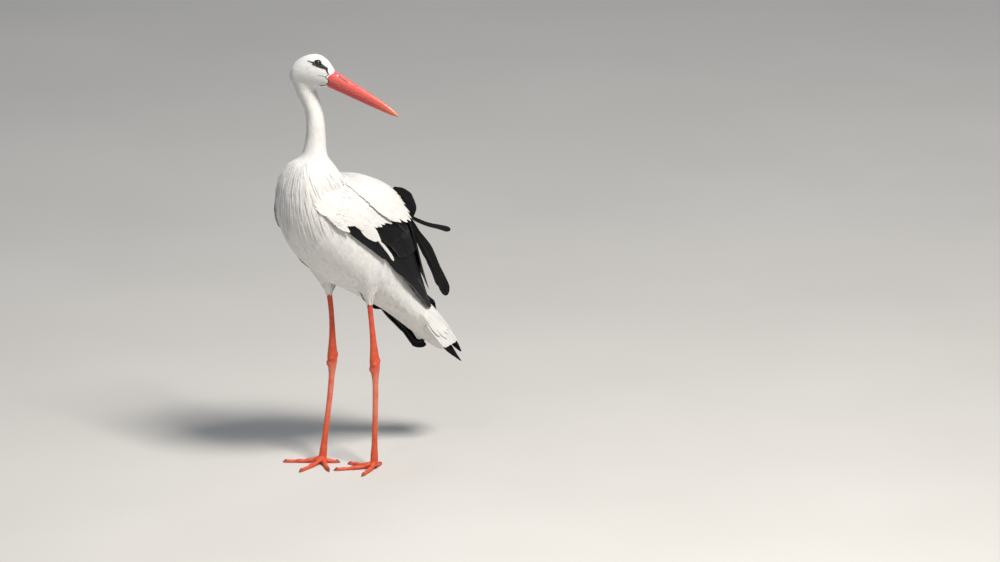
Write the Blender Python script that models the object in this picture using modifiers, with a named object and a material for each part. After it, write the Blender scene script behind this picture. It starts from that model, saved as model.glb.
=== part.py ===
"""Adult white stork, standing, life size: its body, bill, eyes, folded wings, tail, legs and feet.

Metres, +Z up. The bird faces -Y, its left side is +X, and its head is turned to its left.
The body is laid out along an axis that slopes down to the tail: s runs along the axis from the
breast to the tail, n is the height over the axis, and x is the distance to the left of it.
"""

import math

import bmesh
import bpy
import numpy as np

GAP = 0.0003  # clearance between neighbouring pieces
LEFT, RIGHT = 1, -1
SIDES = ((LEFT, "left"), (RIGHT, "right"))

# The body's axis
SLOPE = math.radians(42.0)
AXIS_START = np.array([0.0, -0.135, 0.655])
AXIS = np.array([0.0, math.cos(SLOPE), -math.sin(SLOPE)])
DORSAL = np.array([0.0, math.sin(SLOPE), math.cos(SLOPE)])

# Trunk with its plumage: s, belly n, back n, half width, n of the widest place
TRUNK = (
    (-0.057, 0.034, 0.044, 0.008, 0.039),
    (-0.051, 0.010, 0.062, 0.034, 0.034),
    (-0.039, -0.016, 0.074, 0.054, 0.024),
    (-0.020, -0.042, 0.074, 0.066, 0.010),
    (0.000, -0.063, 0.068, 0.073, 0.000),
    (0.040, -0.089, 0.072, 0.082, -0.015),
    (0.090, -0.105, 0.088, 0.089, -0.028),
    (0.140, -0.110, 0.114, 0.089, -0.034),
    (0.190, -0.108, 0.118, 0.086, -0.036),
    (0.240, -0.099, 0.104, 0.079, -0.034),
    (0.290, -0.087, 0.076, 0.068, -0.032),
    (0.340, -0.077, 0.050, 0.056, -0.032),
    (0.390, -0.068, 0.027, 0.048, -0.032),
    (0.440, -0.063, 0.012, 0.042, -0.032),
    (0.490, -0.059, 0.000, 0.036, -0.033),
    (0.530, -0.055, -0.014, 0.029, -0.034),
    (0.550, -0.047, -0.027, 0.012, -0.037),
)

# Neck: centre x, y, z, then half widths across and fore-and-aft
NECK = (
    (0.000, -0.085, 0.655, 0.074, 0.060),
    (0.000, -0.092, 0.690, 0.070, 0.055),
    (0.000, -0.096, 0.714, 0.052, 0.044),
    (0.000, -0.096, 0.736, 0.033, 0.030),
    (0.000, -0.093, 0.758, 0.025, 0.025),
    (0.000, -0.091, 0.785, 0.022, 0.0225),
    (-0.001, -0.091, 0.815, 0.021, 0.0215),
    (-0.006, -0.091, 0.838, 0.0215, 0.022),
    (-0.014, -0.095, 0.860, 0.023, 0.0235),
    (-0.020, -0.101, 0.880, 0.0245, 0.025),
    (-0.023, -0.107, 0.902, 0.024, 0.025),
)
NECK_CUT = 0.738

# Head: it faces left and down. f runs forward from the middle of the bill's base, u is up
HEAD_YAW = math.radians(28.0)
HEAD_PITCH = math.radians(21.0)
BILL_BASE = np.array([0.039, -0.0793, 0.9115])
HEAD = (  # f, underside u, crown u, half width, u of the widest place
    (-0.098, -0.014, -0.010, 0.003, -0.012),
    (-0.093, -0.032, 0.009, 0.015, -0.012),
    (-0.082, -0.044, 0.026, 0.0225, -0.006),
    (-0.064, -0.040, 0.042, 0.0255, 0.002),
    (-0.046, -0.033, 0.0485, 0.0250, 0.008),
    (-0.030, -0.027, 0.0465, 0.0220, 0.010),
    (-0.016, -0.022, 0.041, 0.0180, 0.010),
    (-0.004, -0.016, 0.033, 0.0145, 0.009),
    (0.004, -0.012, 0.0275, 0.0120, 0.008),
    (0.010, -0.006, 0.0200, 0.0070, 0.007),
)
HEAD_CUT = -0.038  # u of the neck's upper end
BILL_LENGTH = 0.175
BILL = (  # f, lower edge u, line between the mandibles u, upper edge u, half width
    (-0.004, -0.0125, 0.0085, 0.0285, 0.0140),
    (0.012, -0.0118, 0.0083, 0.0275, 0.0130),
    (0.040, -0.0108, 0.0080, 0.0252, 0.0112),
    (0.075, -0.0096, 0.0076, 0.0216, 0.0092),
    (0.110, -0.0083, 0.0067, 0.0172, 0.0070),
    (0.140, -0.0066, 0.0050, 0.0125, 0.0050),
    (0.162, -0.0045, 0.0025, 0.0066, 0.0030),
    (0.175, -0.0016, 0.0001, 0.0016, 0.0010),
)
EYE_RADIUS = 0.0072
EYE = np.array([-0.0395, 0.0146, 0.0358])  # f, distance from the middle plane, u

# Wings: s, half width, top n, n of the widest place, for the smooth shell that they follow
WING = (
    (-0.020, 0.072, 0.066, 0.000),
    (0.000, 0.084, 0.070, 0.000),
    (0.040, 0.097, 0.087, 0.000),
    (0.082, 0.103, 0.104, 0.000),
    (0.112, 0.105, 0.122, 0.000),
    (0.144, 0.104, 0.134, 0.000),
    (0.170, 0.102, 0.142, 0.000),
    (0.231, 0.095, 0.146, 0.000),
    (0.273, 0.089, 0.138, 0.000),
    (0.327, 0.081, 0.107, 0.000),
    (0.367, 0.074, 0.081, -0.002),
    (0.415, 0.063, 0.055, -0.008),
    (0.466, 0.052, 0.032, -0.018),
    (0.540, 0.046, 0.014, -0.030),
    (0.600, 0.042, 0.002, -0.038),
    (0.660, 0.036, -0.010, -0.042),
)
LOWER_EDGE = {  # s, n of the folded wing's lower edge: the right wing hangs lower
    LEFT: (
        (-0.020, -0.006), (0.000, -0.014), (0.060, -0.018), (0.107, -0.018), (0.198, -0.008),
        (0.243, -0.004), (0.304, -0.002), (0.368, 0.008), (0.446, 0.012), (0.480, 0.010),
        (0.660, -0.030),
    ),
    RIGHT: (
        (-0.020, -0.004), (0.010, -0.018), (0.040, -0.042), (0.080, -0.062), (0.115, -0.076),
        (0.180, -0.089), (0.210, -0.088), (0.300, -0.074), (0.361, -0.063), (0.410, -0.066),
        (0.432, -0.052), (0.460, -0.056), (0.522, -0.060), (0.556, -0.069), (0.592, -0.054),
        (0.660, -0.040),
    ),
}
WING_SPREAD = {  # s, how much further out a wing's lower part stands
    LEFT: ((0.0, 0.0), (1.0, 0.0)),
    RIGHT: (
        (0.100, 0.000), (0.210, 0.005), (0.300, 0.010), (0.367, 0.018), (0.410, 0.023),
        (0.460, 0.028), (0.525, 0.024), (0.560, 0.018), (0.600, 0.006), (0.660, 0.000),
    ),
}
HANG = 0.100  # n below the widest place for each radian of a wing that hangs lower than that

# Each group of wing feathers: how deep its outer and inner faces lie under the wing's shell, how
# deep its root goes, the share of the way down the wing where it starts and ends, s where it
# starts, the number of feather tips, their depth, and the line of the tips as (share of the way
# down the group, s), for both wings or for each
GROUPS = {
    "scapulars": dict(
        outer=-0.005, inner=0.0005, root_inner=0.026, across=(0.02, 0.62), start=0.002,
        tips=5, scallop=0.012, ends=((0.0, 0.190), (0.4, 0.232), (0.6, 0.262), (0.8, 0.262), (1.0, 0.205)),
    ),
    "coverts": dict(
        outer=0.0015, inner=0.0055, root_inner=0.028, across=(0.635, 1.0), start=0.010,
        tips=5, scallop=0.012,
        ends={
            LEFT: ((0.0, 0.205), (0.2, 0.200), (0.6, 0.165), (0.8, 0.130), (1.0, 0.095)),
            RIGHT: ((0.0, 0.212), (0.2, 0.210), (0.6, 0.170), (0.8, 0.110), (1.0, 0.075)),
        },
    ),
    "primary_coverts": dict(
        outer=0.0085, inner=0.0110, root_inner=0.0110, across=(0.83, 1.0), start=0.060,
        tips=2, scallop=0.014, ends=((0.0, 0.205), (0.6, 0.232), (1.0, 0.243)),
    ),
    "greater_coverts": dict(
        outer=0.0085, inner=0.0110, root_inner=0.0110, across=(0.42, 0.82), start=0.140,
        tips=4, scallop=0.014, ends=((0.0, 0.335), (0.5, 0.318), (1.0, 0.285)),
    ),
    "tertials": dict(
        outer=0.0030, inner=0.0070, root_inner=0.0070, across=(0.02, 0.40), start=0.160,
        tips=3, scallop=0.024, ends=((0.0, 0.395), (0.5, 0.425), (1.0, 0.450)),
    ),
    "secondaries": dict(
        outer=0.0130, inner=0.0155, root_inner=0.0155, across=(0.20, 1.0), start=0.170,
        tips=5, scallop=0.016,
        ends={
            LEFT: ((0.0, 0.415), (0.5, 0.452), (1.0, 0.472)),
            RIGHT: ((0.0, 0.415), (0.4, 0.452), (0.75, 0.530), (1.0, 0.562)),
        },
    ),
}
PRIMARIES = {  # s, x, n, half width and lean of the folded stack of primaries
    LEFT: (
        (0.300, 0.0605, 0.014, 0.0140, 76.0),
        (0.350, 0.0500, 0.014, 0.0150, 74.0),
        (0.400, 0.0345, 0.014, 0.0150, 65.0),
        (0.430, 0.0235, 0.013, 0.0110, 43.0),
        (0.460, 0.0105, 0.0205, 0.0090, 20.0),
        (0.490, -0.0090, 0.0235, 0.0120, -8.0),
        (0.530, -0.0250, 0.0075, 0.0130, -33.0),
        (0.570, -0.0270, -0.0010, 0.0120, -35.0),
        (0.610, -0.0240, -0.0065, 0.0110, -30.0),
        (0.635, -0.0180, -0.013, 0.0090, -22.0),
        (0.655, -0.0120, -0.018, 0.0040, -15.0),
    ),
    RIGHT: (
        (0.300, -0.0710, -0.040, 0.0140, -80.0),
        (0.340, -0.0670, -0.040, 0.0180, -80.0),
        (0.420, -0.0580, -0.032, 0.0180, -80.0),
        (0.470, -0.0515, -0.022, 0.0160, -75.0),
        (0.520, -0.0470, -0.012, 0.0120, -66.0),
        (0.570, -0.0490, -0.016, 0.0120, -62.0),
        (0.610, -0.0460, -0.018, 0.0110, -58.0),
        (0.640, -0.0260, -0.028, 0.0100, -35.0),
        (0.664, -0.0050, -0.036, 0.0040, -10.0),
    ),
}
PRIMARIES_THICK = 0.0045

# Tail: s, half width, ridge n, edge n
TAIL = (
    (0.400, 0.030, 0.019, -0.030),
    (0.460, 0.038, 0.0145, -0.036),
    (0.520, 0.044, 0.009, -0.041),
    (0.570, 0.048, 0.000, -0.043),
    (0.612, 0.050, -0.010, -0.042),
)
TAIL_THICK = 0.006
TAIL_ROUNDING = 0.018
TAIL_SCALLOP = 0.006
RECTRICES = 12

# Black feathers that stand off the folded wings: s, x, n, half width, lean
LONG_TERTIAL = (
    (0.262, 0.032, 0.129, 0.0032, -60.0),
    (0.284, 0.034, 0.1265, 0.0036, -60.0),
    (0.312, 0.035, 0.132, 0.0040, -60.0),
    (0.337, 0.035, 0.140, 0.0048, -60.0),
    (0.365, 0.035, 0.152, 0.0062, -60.0),
    (0.386, 0.035, 0.160, 0.0075, -60.0),
    (0.399, 0.035, 0.163, 0.0060, -60.0),
)
DROOPING_TERTIALS = (
    (0.320, 0.036, 0.105, 0.007, -55.0),
    (0.342, 0.036, 0.100, 0.010, -60.0),
    (0.368, 0.035, 0.094, 0.013, -60.0),
    (0.394, 0.035, 0.085, 0.012, -60.0),
    (0.420, 0.035, 0.075, 0.011, -60.0),
    (0.450, 0.034, 0.064, 0.013, -60.0),
    (0.478, 0.032, 0.053, 0.014, -60.0),
    (0.495, 0.030, 0.044, 0.012, -60.0),
)
RAISED_TERTIALS = (
    (0.206, 0.016, 0.1505, 0.0085, -70.0),
    (0.225, 0.018, 0.1535, 0.0125, -70.0),
    (0.250, 0.020, 0.1545, 0.0150, -70.0),
    (0.272, 0.020, 0.1480, 0.0138, -70.0),
    (0.287, 0.020, 0.1400, 0.0125, -70.0),
    (0.297, 0.020, 0.1290, 0.0060, -70.0),
)
LOOSE = {
    "loose_tertial": LONG_TERTIAL,
    "drooping_tertials": DROOPING_TERTIALS,
    "raised_tertials": RAISED_TERTIALS,
}
LOOSE_THICK = 0.0024

# Legs: where each passes, then z and half width down the leg
LEG_PATH = {
    LEFT: ((0.049, 0.012, 0.470), (0.047, 0.024, 0.392), (0.052, 0.036, 0.240), (0.054, 0.032, 0.012)),
    RIGHT: ((-0.050, -0.034, 0.480), (-0.045, -0.018, 0.404), (-0.052, -0.002, 0.240),
            (-0.057, -0.027, 0.012)),
}
LEG = (
    (0.012, 0.0090), (0.030, 0.0084), (0.050, 0.0070), (0.100, 0.0063), (0.170, 0.0064),
    (0.205, 0.0076), (0.225, 0.0108), (0.238, 0.0124), (0.248, 0.0120), (0.262, 0.0104),
    (0.290, 0.0076), (0.330, 0.0060), (0.380, 0.0060), (0.470, 0.0064),
)
THIGH_END = {LEFT: 0.388, RIGHT: 0.401}
THIGH = (  # height over the thigh's lower end, half widths across and fore-and-aft
    (0.000, 0.0085, 0.0085), (0.012, 0.0120, 0.0130), (0.030, 0.0185, 0.0230),
    (0.055, 0.0270, 0.0340), (0.090, 0.0340, 0.0440), (0.125, 0.0300, 0.0420),
)
HOCK_CUT = 0.264
ANKLE_CUT = 0.027

# Toes: direction in degrees from straight ahead to the bird's outer side, length, joints
TOES = {
    LEFT: (("outer", 29.0, 0.070, 4), ("middle", -27.0, 0.088, 3), ("inner", -70.0, 0.064, 2),
           ("hind", -155.0, 0.034, 1)),
    RIGHT: (("outer", 42.0, 0.084, 4), ("middle", -18.0, 0.092, 3), ("inner", -61.0, 0.074, 2),
            ("hind", -140.0, 0.034, 1)),
}
TOE_ROOT, TOE_TIP = 0.0062, 0.0038
CLAW = 0.010

COLLECTION = "white_stork"


# ---------------------------------------------------------------- tools

def spline(table, at):
    """The table's columns after the first, smoothly between its rows, at each value given."""
    table = np.asarray(table, float)
    x, y = table[:, 0], table[:, 1:]
    slope = np.gradient(y, x, axis=0)
    at = np.clip(np.atleast_1d(np.asarray(at, float)), x[0], x[-1])
    row = np.clip(np.searchsorted(x, at, side="right") - 1, 0, len(x) - 2)
    step = (x[row + 1] - x[row])[:, None]
    t = (at - x[row])[:, None] / step
    return (
        y[row] * (1 + 2 * t) * (1 - t) ** 2
        + slope[row] * step * t * (1 - t) ** 2
        + y[row + 1] * t * t * (3 - 2 * t)
        + slope[row + 1] * step * t * t * (t - 1)
    )


def between(table, at):
    """The table's second column at a value of its first, by straight lines."""
    table = np.asarray(table, float)
    return np.interp(at, table[:, 0], table[:, 1])


def body_point(x, s, n):
    return np.array([x, 0.0, 0.0]) + AXIS_START + s * AXIS + n * DORSAL


def material(name, colour, roughness):
    made = bpy.data.materials.new(name)
    made.use_nodes = True
    made.diffuse_color = (*colour, 1.0)
    shader = made.node_tree.nodes["Principled BSDF"]
    shader.inputs["Base Color"].default_value = (*colour, 1.0)
    shader.inputs["Roughness"].default_value = roughness
    shader.inputs["Metallic"].default_value = 0.0
    return made


def object_from(name, bm, finish, collection):
    """A mesh object from the bmesh, with its faces turned outwards."""
    bmesh.ops.remove_doubles(bm, verts=bm.verts, dist=1e-6)
    bmesh.ops.recalc_face_normals(bm, faces=bm.faces)
    mesh = bpy.data.meshes.new(name)
    bm.to_mesh(mesh)
    bm.free()
    made = bpy.data.objects.new(name, mesh)
    if finish:
        mesh.materials.append(finish)
    collection.objects.link(made)
    return made


def loft(name, rings, finish, collection):
    """A closed body through rings of equally many points."""
    bm = bmesh.new()
    rows = [[bm.verts.new(point) for point in ring] for ring in rings]
    count = len(rows[0])
    for low, high in zip(rows, rows[1:]):
        for i in range(count):
            bm.faces.new((low[i], low[(i + 1) % count], high[(i + 1) % count], high[i]))
    bm.faces.new(rows[0])
    bm.faces.new(rows[-1])
    return object_from(name, bm, finish, collection)


def slab(name, outer, inner, finish, collection):
    """A closed sheet between two grids of points."""
    outer, inner = np.asarray(outer), np.asarray(inner)
    rows, columns = outer.shape[:2]
    bm = bmesh.new()
    top = [[bm.verts.new(outer[i, j]) for j in range(columns)] for i in range(rows)]
    low = [[bm.verts.new(inner[i, j]) for j in range(columns)] for i in range(rows)]
    for i in range(rows - 1):
        for j in range(columns - 1):
            for grid in (top, low):
                bm.faces.new((grid[i][j], grid[i][j + 1], grid[i + 1][j + 1], grid[i + 1][j]))
    rim = [(i, 0) for i in range(rows)] + [(rows - 1, j) for j in range(1, columns)]
    rim += [(i, columns - 1) for i in range(rows - 2, -1, -1)]
    rim += [(0, j) for j in range(columns - 2, 0, -1)]
    for (i, j), (k, m) in zip(rim, rim[1:] + rim[:1]):
        bm.faces.new((top[i][j], top[k][m], low[k][m], low[i][j]))
    return object_from(name, bm, finish, collection)


def settle(obj):
    """The object's mesh as its modifiers leave it, without the modifiers."""
    graph = bpy.context.evaluated_depsgraph_get()
    mesh = bpy.data.meshes.new_from_object(obj.evaluated_get(graph))
    obj.modifiers.clear()
    old, obj.data = obj.data, mesh
    mesh.name = obj.name
    bpy.data.meshes.remove(old)
    return obj


def join(name, pieces, finish, collection):
    """One object that holds the closed bodies of all the pieces."""
    bm = bmesh.new()
    for piece in pieces:
        bm.from_mesh(piece.data)
        bpy.data.objects.remove(piece)
    mesh = bpy.data.meshes.new(name)
    bm.to_mesh(mesh)
    bm.free()
    mesh.materials.clear()
    mesh.materials.append(finish)
    made = bpy.data.objects.new(name, mesh)
    collection.objects.link(made)
    return made


def fuse(obj, voxel, smoothing, faces):
    """Melts overlapping bodies into one skin, smooths it, and leaves about so many triangles."""
    remesh = obj.modifiers.new("fuse", "REMESH")
    remesh.mode = "VOXEL"
    remesh.voxel_size = voxel
    smooth = obj.modifiers.new("smooth", "SMOOTH")
    smooth.factor = 0.5
    smooth.iterations = smoothing
    settle(obj)
    fewer = obj.modifiers.new("fewer", "DECIMATE")
    triangles = sum(len(face.vertices) - 2 for face in obj.data.polygons)
    fewer.ratio = min(1.0, faces / triangles)
    return settle(obj)


def boolean(obj, other, operation):
    change = obj.modifiers.new(operation.lower(), "BOOLEAN")
    change.operation = operation
    change.object = other
    settle(obj)
    bm = bmesh.new()
    bm.from_mesh(obj.data)
    bmesh.ops.dissolve_degenerate(bm, dist=1e-5, edges=bm.edges)
    bmesh.ops.triangulate(bm, faces=bm.faces)
    bm.to_mesh(obj.data)
    bm.free()
    return obj


def copy_of(obj, name, collection):
    made = obj.copy()
    made.data = obj.data.copy()
    made.name = name
    collection.objects.link(made)
    return made


def swollen(obj, by, collection):
    """A cutter a little larger than the object all over."""
    made = copy_of(obj, obj.name + "_swollen", collection)
    bm = bmesh.new()
    bm.from_mesh(made.data)
    bm.normal_update()
    places = [vert.co + vert.normal * by for vert in bm.verts]
    for vert, place in zip(bm.verts, places):
        vert.co = place
    bm.to_mesh(made.data)
    bm.free()
    made.hide_render = True
    made.display_type = "WIRE"
    return made


def trim(obj, point, normal):
    """Cuts away what lies beyond a plane and closes the cut with a flat face."""
    bm = bmesh.new()
    bm.from_mesh(obj.data)
    everything = [*bm.verts, *bm.edges, *bm.faces]
    found = bmesh.ops.bisect_plane(
        bm, geom=everything, dist=1e-6, plane_co=point, plane_no=normal, clear_outer=True
    )
    rim = [item for item in found["geom_cut"] if isinstance(item, bmesh.types.BMEdge)]
    bmesh.ops.edgeloop_fill(bm, edges=rim)
    bmesh.ops.triangulate(bm, faces=bm.faces)
    bmesh.ops.recalc_face_normals(bm, faces=bm.faces)
    bm.to_mesh(obj.data)
    bm.free()
    return obj


def part_at(obj, name, point, normal, collection):
    """Splits off what lies beyond a plane, as a new object, and leaves a thin gap."""
    normal = np.asarray(normal, float) / np.linalg.norm(normal)
    beyond = copy_of(obj, name, collection)
    trim(beyond, point + normal * GAP / 2, -normal)
    trim(obj, point - normal * GAP / 2, normal)
    return beyond


# ---------------------------------------------------------------- body

def body_ring(s, belly, back, half_width, middle, count=28):
    """A section of the trunk: an ellipse below its widest place, a steeper roof above it."""
    ring = []
    for k in range(count):
        angle = math.tau * k / count
        across, up = math.sin(angle), math.cos(angle)
        if up > 0:
            x = math.copysign(abs(across) ** 1.12, across) * half_width
            n = middle + up * (back - middle)
        else:
            x = across * half_width
            n = middle - up * (belly - middle)
        ring.append(body_point(x, s, n))
    return ring


def trunk_loft(collection):
    rows = np.array(TRUNK)
    places = np.concatenate([rows[:4, 0], np.linspace(rows[4, 0], rows[-3, 0], 22), rows[-2:, 0]])
    rings = [body_ring(s, *spline(TRUNK, s)[0]) for s in places]
    return loft("trunk_loft", rings, None, collection)


def neck_loft(collection):
    rows = np.array(NECK)
    along = np.linspace(0, len(rows) - 1, 31)
    table = np.column_stack([np.arange(len(rows)), rows])
    rings = []
    for x, y, z, across, deep in spline(table, along):
        angles = math.tau * np.arange(20) / 20
        rings.append([(x + across * math.cos(a), y + deep * math.sin(a), z) for a in angles])
    return loft("neck_loft", rings, None, collection)


def head_axes():
    forward = np.array([
        math.cos(HEAD_YAW) * math.cos(HEAD_PITCH),
        math.sin(HEAD_YAW) * math.cos(HEAD_PITCH),
        -math.sin(HEAD_PITCH),
    ])
    across = np.array([math.sin(HEAD_YAW), -math.cos(HEAD_YAW), 0.0])  # to the head's right
    return forward, across, np.cross(across, forward)


def head_point(f, across, u):
    forward, right, up = head_axes()
    return BILL_BASE + f * forward + across * right + u * up


def head_loft(collection):
    rings = []
    places = np.concatenate([[HEAD[0][0]], np.linspace(HEAD[1][0], HEAD[-1][0], 22)])
    for f, (under, crown, half_width, middle) in zip(places, spline(HEAD, places)):
        ring = []
        for k in range(22):
            angle = math.tau * k / 22
            up = math.cos(angle)
            u = middle + up * ((crown if up > 0 else 2 * middle - under) - middle)
            ring.append(head_point(f, math.sin(angle) * half_width, u))
        rings.append(ring)
    return loft("head_loft", rings, None, collection)


def make_flesh(feather_white, parts):
    """Trunk, neck and head as one smooth body, parted by two thin cuts."""
    lofts = [trunk_loft(parts), neck_loft(parts), head_loft(parts)]
    trunk = join("trunk", lofts, feather_white, parts)
    fuse(trunk, 0.0042, 6, 1750)
    head = part_at(trunk, "head", head_point(-0.060, 0, HEAD_CUT), head_axes()[2], parts)
    part_at(trunk, "neck", np.array([0.0, 0.0, NECK_CUT]), (0, 0, 1), parts)
    return trunk, head


def mandible(name, rows, inner, outer, finish, parts):
    """One half of the bill: flat on its biting face, rounded on the other."""
    rings = []
    for row in rows:
        f, half_width = row[0], row[4]
        flat = row[inner]
        height = row[outer] - flat
        ring = []
        for k in range(7):
            angle = math.pi * k / 6
            ring.append(head_point(f, half_width * math.cos(angle), flat + height * math.sin(angle)))
        rings.append(ring)
    return loft(name, rings, finish, parts)


def make_bill(head, horn, parts, cutters):
    places = np.concatenate([np.linspace(-0.004, 0.150, 7), [0.163, 0.170, BILL_LENGTH]])
    values = spline(BILL, places)
    upper_rows = [(f, 0, line + GAP / 2, top, wide) for f, (_, line, top, wide) in zip(places, values)]
    lower_rows = [(f, low, line - GAP / 2, 0, wide * 0.97)
                  for f, (low, line, _, wide) in zip(places, values)]
    upper = mandible("bill_upper", upper_rows, 2, 3, horn, parts)
    lower = mandible("bill_lower", lower_rows, 2, 1, horn, parts)
    cutter = swollen(head, GAP, cutters)
    for half in (upper, lower):
        boolean(half, cutter, "DIFFERENCE")


def make_eyes(head, eye_black, parts, cutters):
    for side, name in SIDES:
        centre = head_point(EYE[0], -side * EYE[1], EYE[2])
        for radius, eye_name, where in ((EYE_RADIUS, "eye_" + name, parts),
                                        (EYE_RADIUS + GAP, "socket_" + name, cutters)):
            bm = bmesh.new()
            bmesh.ops.create_icosphere(bm, subdivisions=2, radius=radius)
            bmesh.ops.translate(bm, verts=bm.verts, vec=centre)
            eye = object_from(eye_name, bm, eye_black, where)
        eye.hide_render = True
        eye.display_type = "WIRE"
        boolean(head, eye, "DIFFERENCE")


# ---------------------------------------------------------------- wings and tail

def wing_point(side, s, share, depth):
    """A point on a wing's smooth shell, a share of the way from the back down to its edge."""
    half_width, top, middle = spline(WING, s)[0]
    spread = between(WING_SPREAD[side], s)
    low = between(LOWER_EDGE[side], s)
    if low < middle:
        limit = math.pi / 2 + (middle - low) / HANG
    else:
        limit = math.acos((low - middle) / (top - middle))
    angle = share * limit
    if angle < math.pi / 2:
        x = (half_width - depth + spread * math.sin(angle)) * math.sin(angle)
        n = middle + (top - middle - depth) * math.cos(angle)
    else:
        x = half_width - depth + spread - 0.06 * (angle - math.pi / 2) * HANG
        n = middle - (angle - math.pi / 2) * HANG
    return body_point(side * x, s, n)


def feather_group(name, side, group, finish, parts):
    """A sheet of overlapping feathers whose far edge is a row of rounded tips."""
    across = 3 * group["tips"] + 1
    along = 5
    first, last = group["across"]
    ends = group["ends"][side] if isinstance(group["ends"], dict) else group["ends"]
    outer, inner = [], []
    for j in range(across):
        part = j / (across - 1)
        end = between(ends, part) - (group["scallop"] if j % 3 == 0 else 0.0)
        share = first + (last - first) * part
        for i in range(along):
            s = group["start"] + (end - group["start"]) * i / (along - 1)
            fade = min(1.0, max(0.0, (s - 0.012) / 0.038))
            depth = group["root_inner"] + (group["inner"] - group["root_inner"]) * fade
            outer.append(wing_point(side, s, share, group["outer"]))
            inner.append(wing_point(side, s, share, depth))
    shape = (across, along, 3)
    return slab(name, np.reshape(outer, shape), np.reshape(inner, shape), finish, parts)


def blade(name, table, thick, finish, parts, along=9, across=3):
    """A long feather, or a folded stack of them, along a curved line: it leans as the table says."""
    places = np.linspace(table[0][0], table[-1][0], along)
    faces = {1: [], -1: []}
    for s, (x, n, half_width, lean) in zip(places, spline(table, places)):
        lean = math.radians(lean)
        for j in range(across):
            reach = (2 * j / (across - 1) - 1) * half_width
            arch = thick * 0.6 * (1 - (reach / half_width) ** 2)
            for face, rows in faces.items():
                lift = arch + face * thick / 2
                rows.append(body_point(
                    x + reach * math.cos(lean) + lift * math.sin(lean),
                    s,
                    n - reach * math.sin(lean) + lift * math.cos(lean),
                ))
    shape = (along, across, 3)
    return slab(name, np.reshape(faces[1], shape), np.reshape(faces[-1], shape), finish, parts)


def make_wings(trunk_cutter, feather_white, feather_black, parts):
    groups = {}
    for side, side_name in SIDES:
        for group_name, group in GROUPS.items():
            white = group_name in ("scapulars", "coverts")
            finish = feather_white if white else feather_black
            name = f"wing_{side_name}_{group_name}"
            made = feather_group(name, side, group, finish, parts)
            groups[name] = boolean(made, trunk_cutter, "DIFFERENCE")
        name = f"wing_{side_name}_primaries"
        made = blade(name, PRIMARIES[side], PRIMARIES_THICK, feather_black, parts)
        groups[name] = made
    return groups


def make_tail(trunk_cutter, feather_white, parts):
    """A folded fan of tail feathers: a low roof with a rounded, scalloped end."""
    across = RECTRICES + 1
    along = 6
    faces = {1: [], -1: []}
    for j in range(across):
        part = 2 * j / (across - 1) - 1
        end = TAIL[-1][0] - TAIL_ROUNDING * part ** 2 - (TAIL_SCALLOP if j % 2 == 0 else 0.0)
        for i in range(along):
            s = TAIL[0][0] + (end - TAIL[0][0]) * i / (along - 1)
            half_width, ridge, edge = spline(TAIL, s)[0]
            angle = part * math.radians(80)
            drop = (1 - math.cos(angle)) / (1 - math.cos(math.radians(80)))
            for face, rows in faces.items():
                lift = face * TAIL_THICK / 2
                rows.append(body_point(
                    half_width * math.sin(angle) / math.sin(math.radians(80)) + lift * part,
                    s,
                    ridge + (edge - ridge) * drop + lift,
                ))
    shape = (across, along, 3)
    tail = slab("tail", np.reshape(faces[1], shape), np.reshape(faces[-1], shape), feather_white, parts)
    return boolean(tail, trunk_cutter, "DIFFERENCE")


def make_loose_tertials(groups, feather_black, parts, cutters):
    clear = swollen(groups["wing_left_tertials"], GAP, cutters)
    for name, table in LOOSE.items():
        made = blade(name, table, LOOSE_THICK, feather_black, parts)
        boolean(made, clear, "DIFFERENCE")


# ---------------------------------------------------------------- legs

def leg_centre(side, z):
    path = [(-point[2], point[0], point[1]) for point in LEG_PATH[side]]
    return spline(path, -z)[0]


def leg_tube(name, side, top, bottom, finish, parts, count=8):
    heights = [z for z, _ in LEG if bottom < z < top]
    places = sorted([bottom, *heights, top])
    rings = []
    for z in places:
        x, y = leg_centre(side, z)
        radius = spline(LEG, z)[0][0]
        angles = math.tau * np.arange(count) / count
        rings.append([(x + 0.95 * radius * math.cos(a), y + 1.05 * radius * math.sin(a), z)
                      for a in angles])
    return loft(name, rings, finish, parts)


def make_thigh(side, name, trunk_cutter, feather_white, parts):
    bottom = THIGH_END[side]
    rings = []
    for rise in np.linspace(THIGH[0][0], THIGH[-1][0], 10):
        across, deep = spline(THIGH, rise)[0]
        x, y = leg_centre(side, min(bottom + rise, LEG_PATH[side][0][2]))
        angles = math.tau * np.arange(16) / 16
        rings.append([(x + across * math.cos(a), y + deep * math.sin(a), bottom + rise)
                      for a in angles])
    thigh = loft("thigh_" + name, rings, feather_white, parts)
    return boolean(thigh, trunk_cutter, "DIFFERENCE")


def toe_radius(share, joints):
    """A toe tapers, and swells a little over each joint's pad."""
    pad = 0.5 - 0.5 * math.cos(math.tau * share * joints)
    return (TOE_ROOT + (TOE_TIP - TOE_ROOT) * share) * (0.88 + 0.16 * pad)


def toe_line(side, degrees, length, share):
    """The toe's middle line on the ground plane, with its height over the floor."""
    angle = math.radians(degrees)
    x0, y0 = leg_centre(side, 0.012)
    reach = length * share
    sink = 0.012 * math.exp(-share * 6)
    return np.array([x0 + side * math.sin(angle) * reach, y0 - math.cos(angle) * reach, sink])


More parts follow.
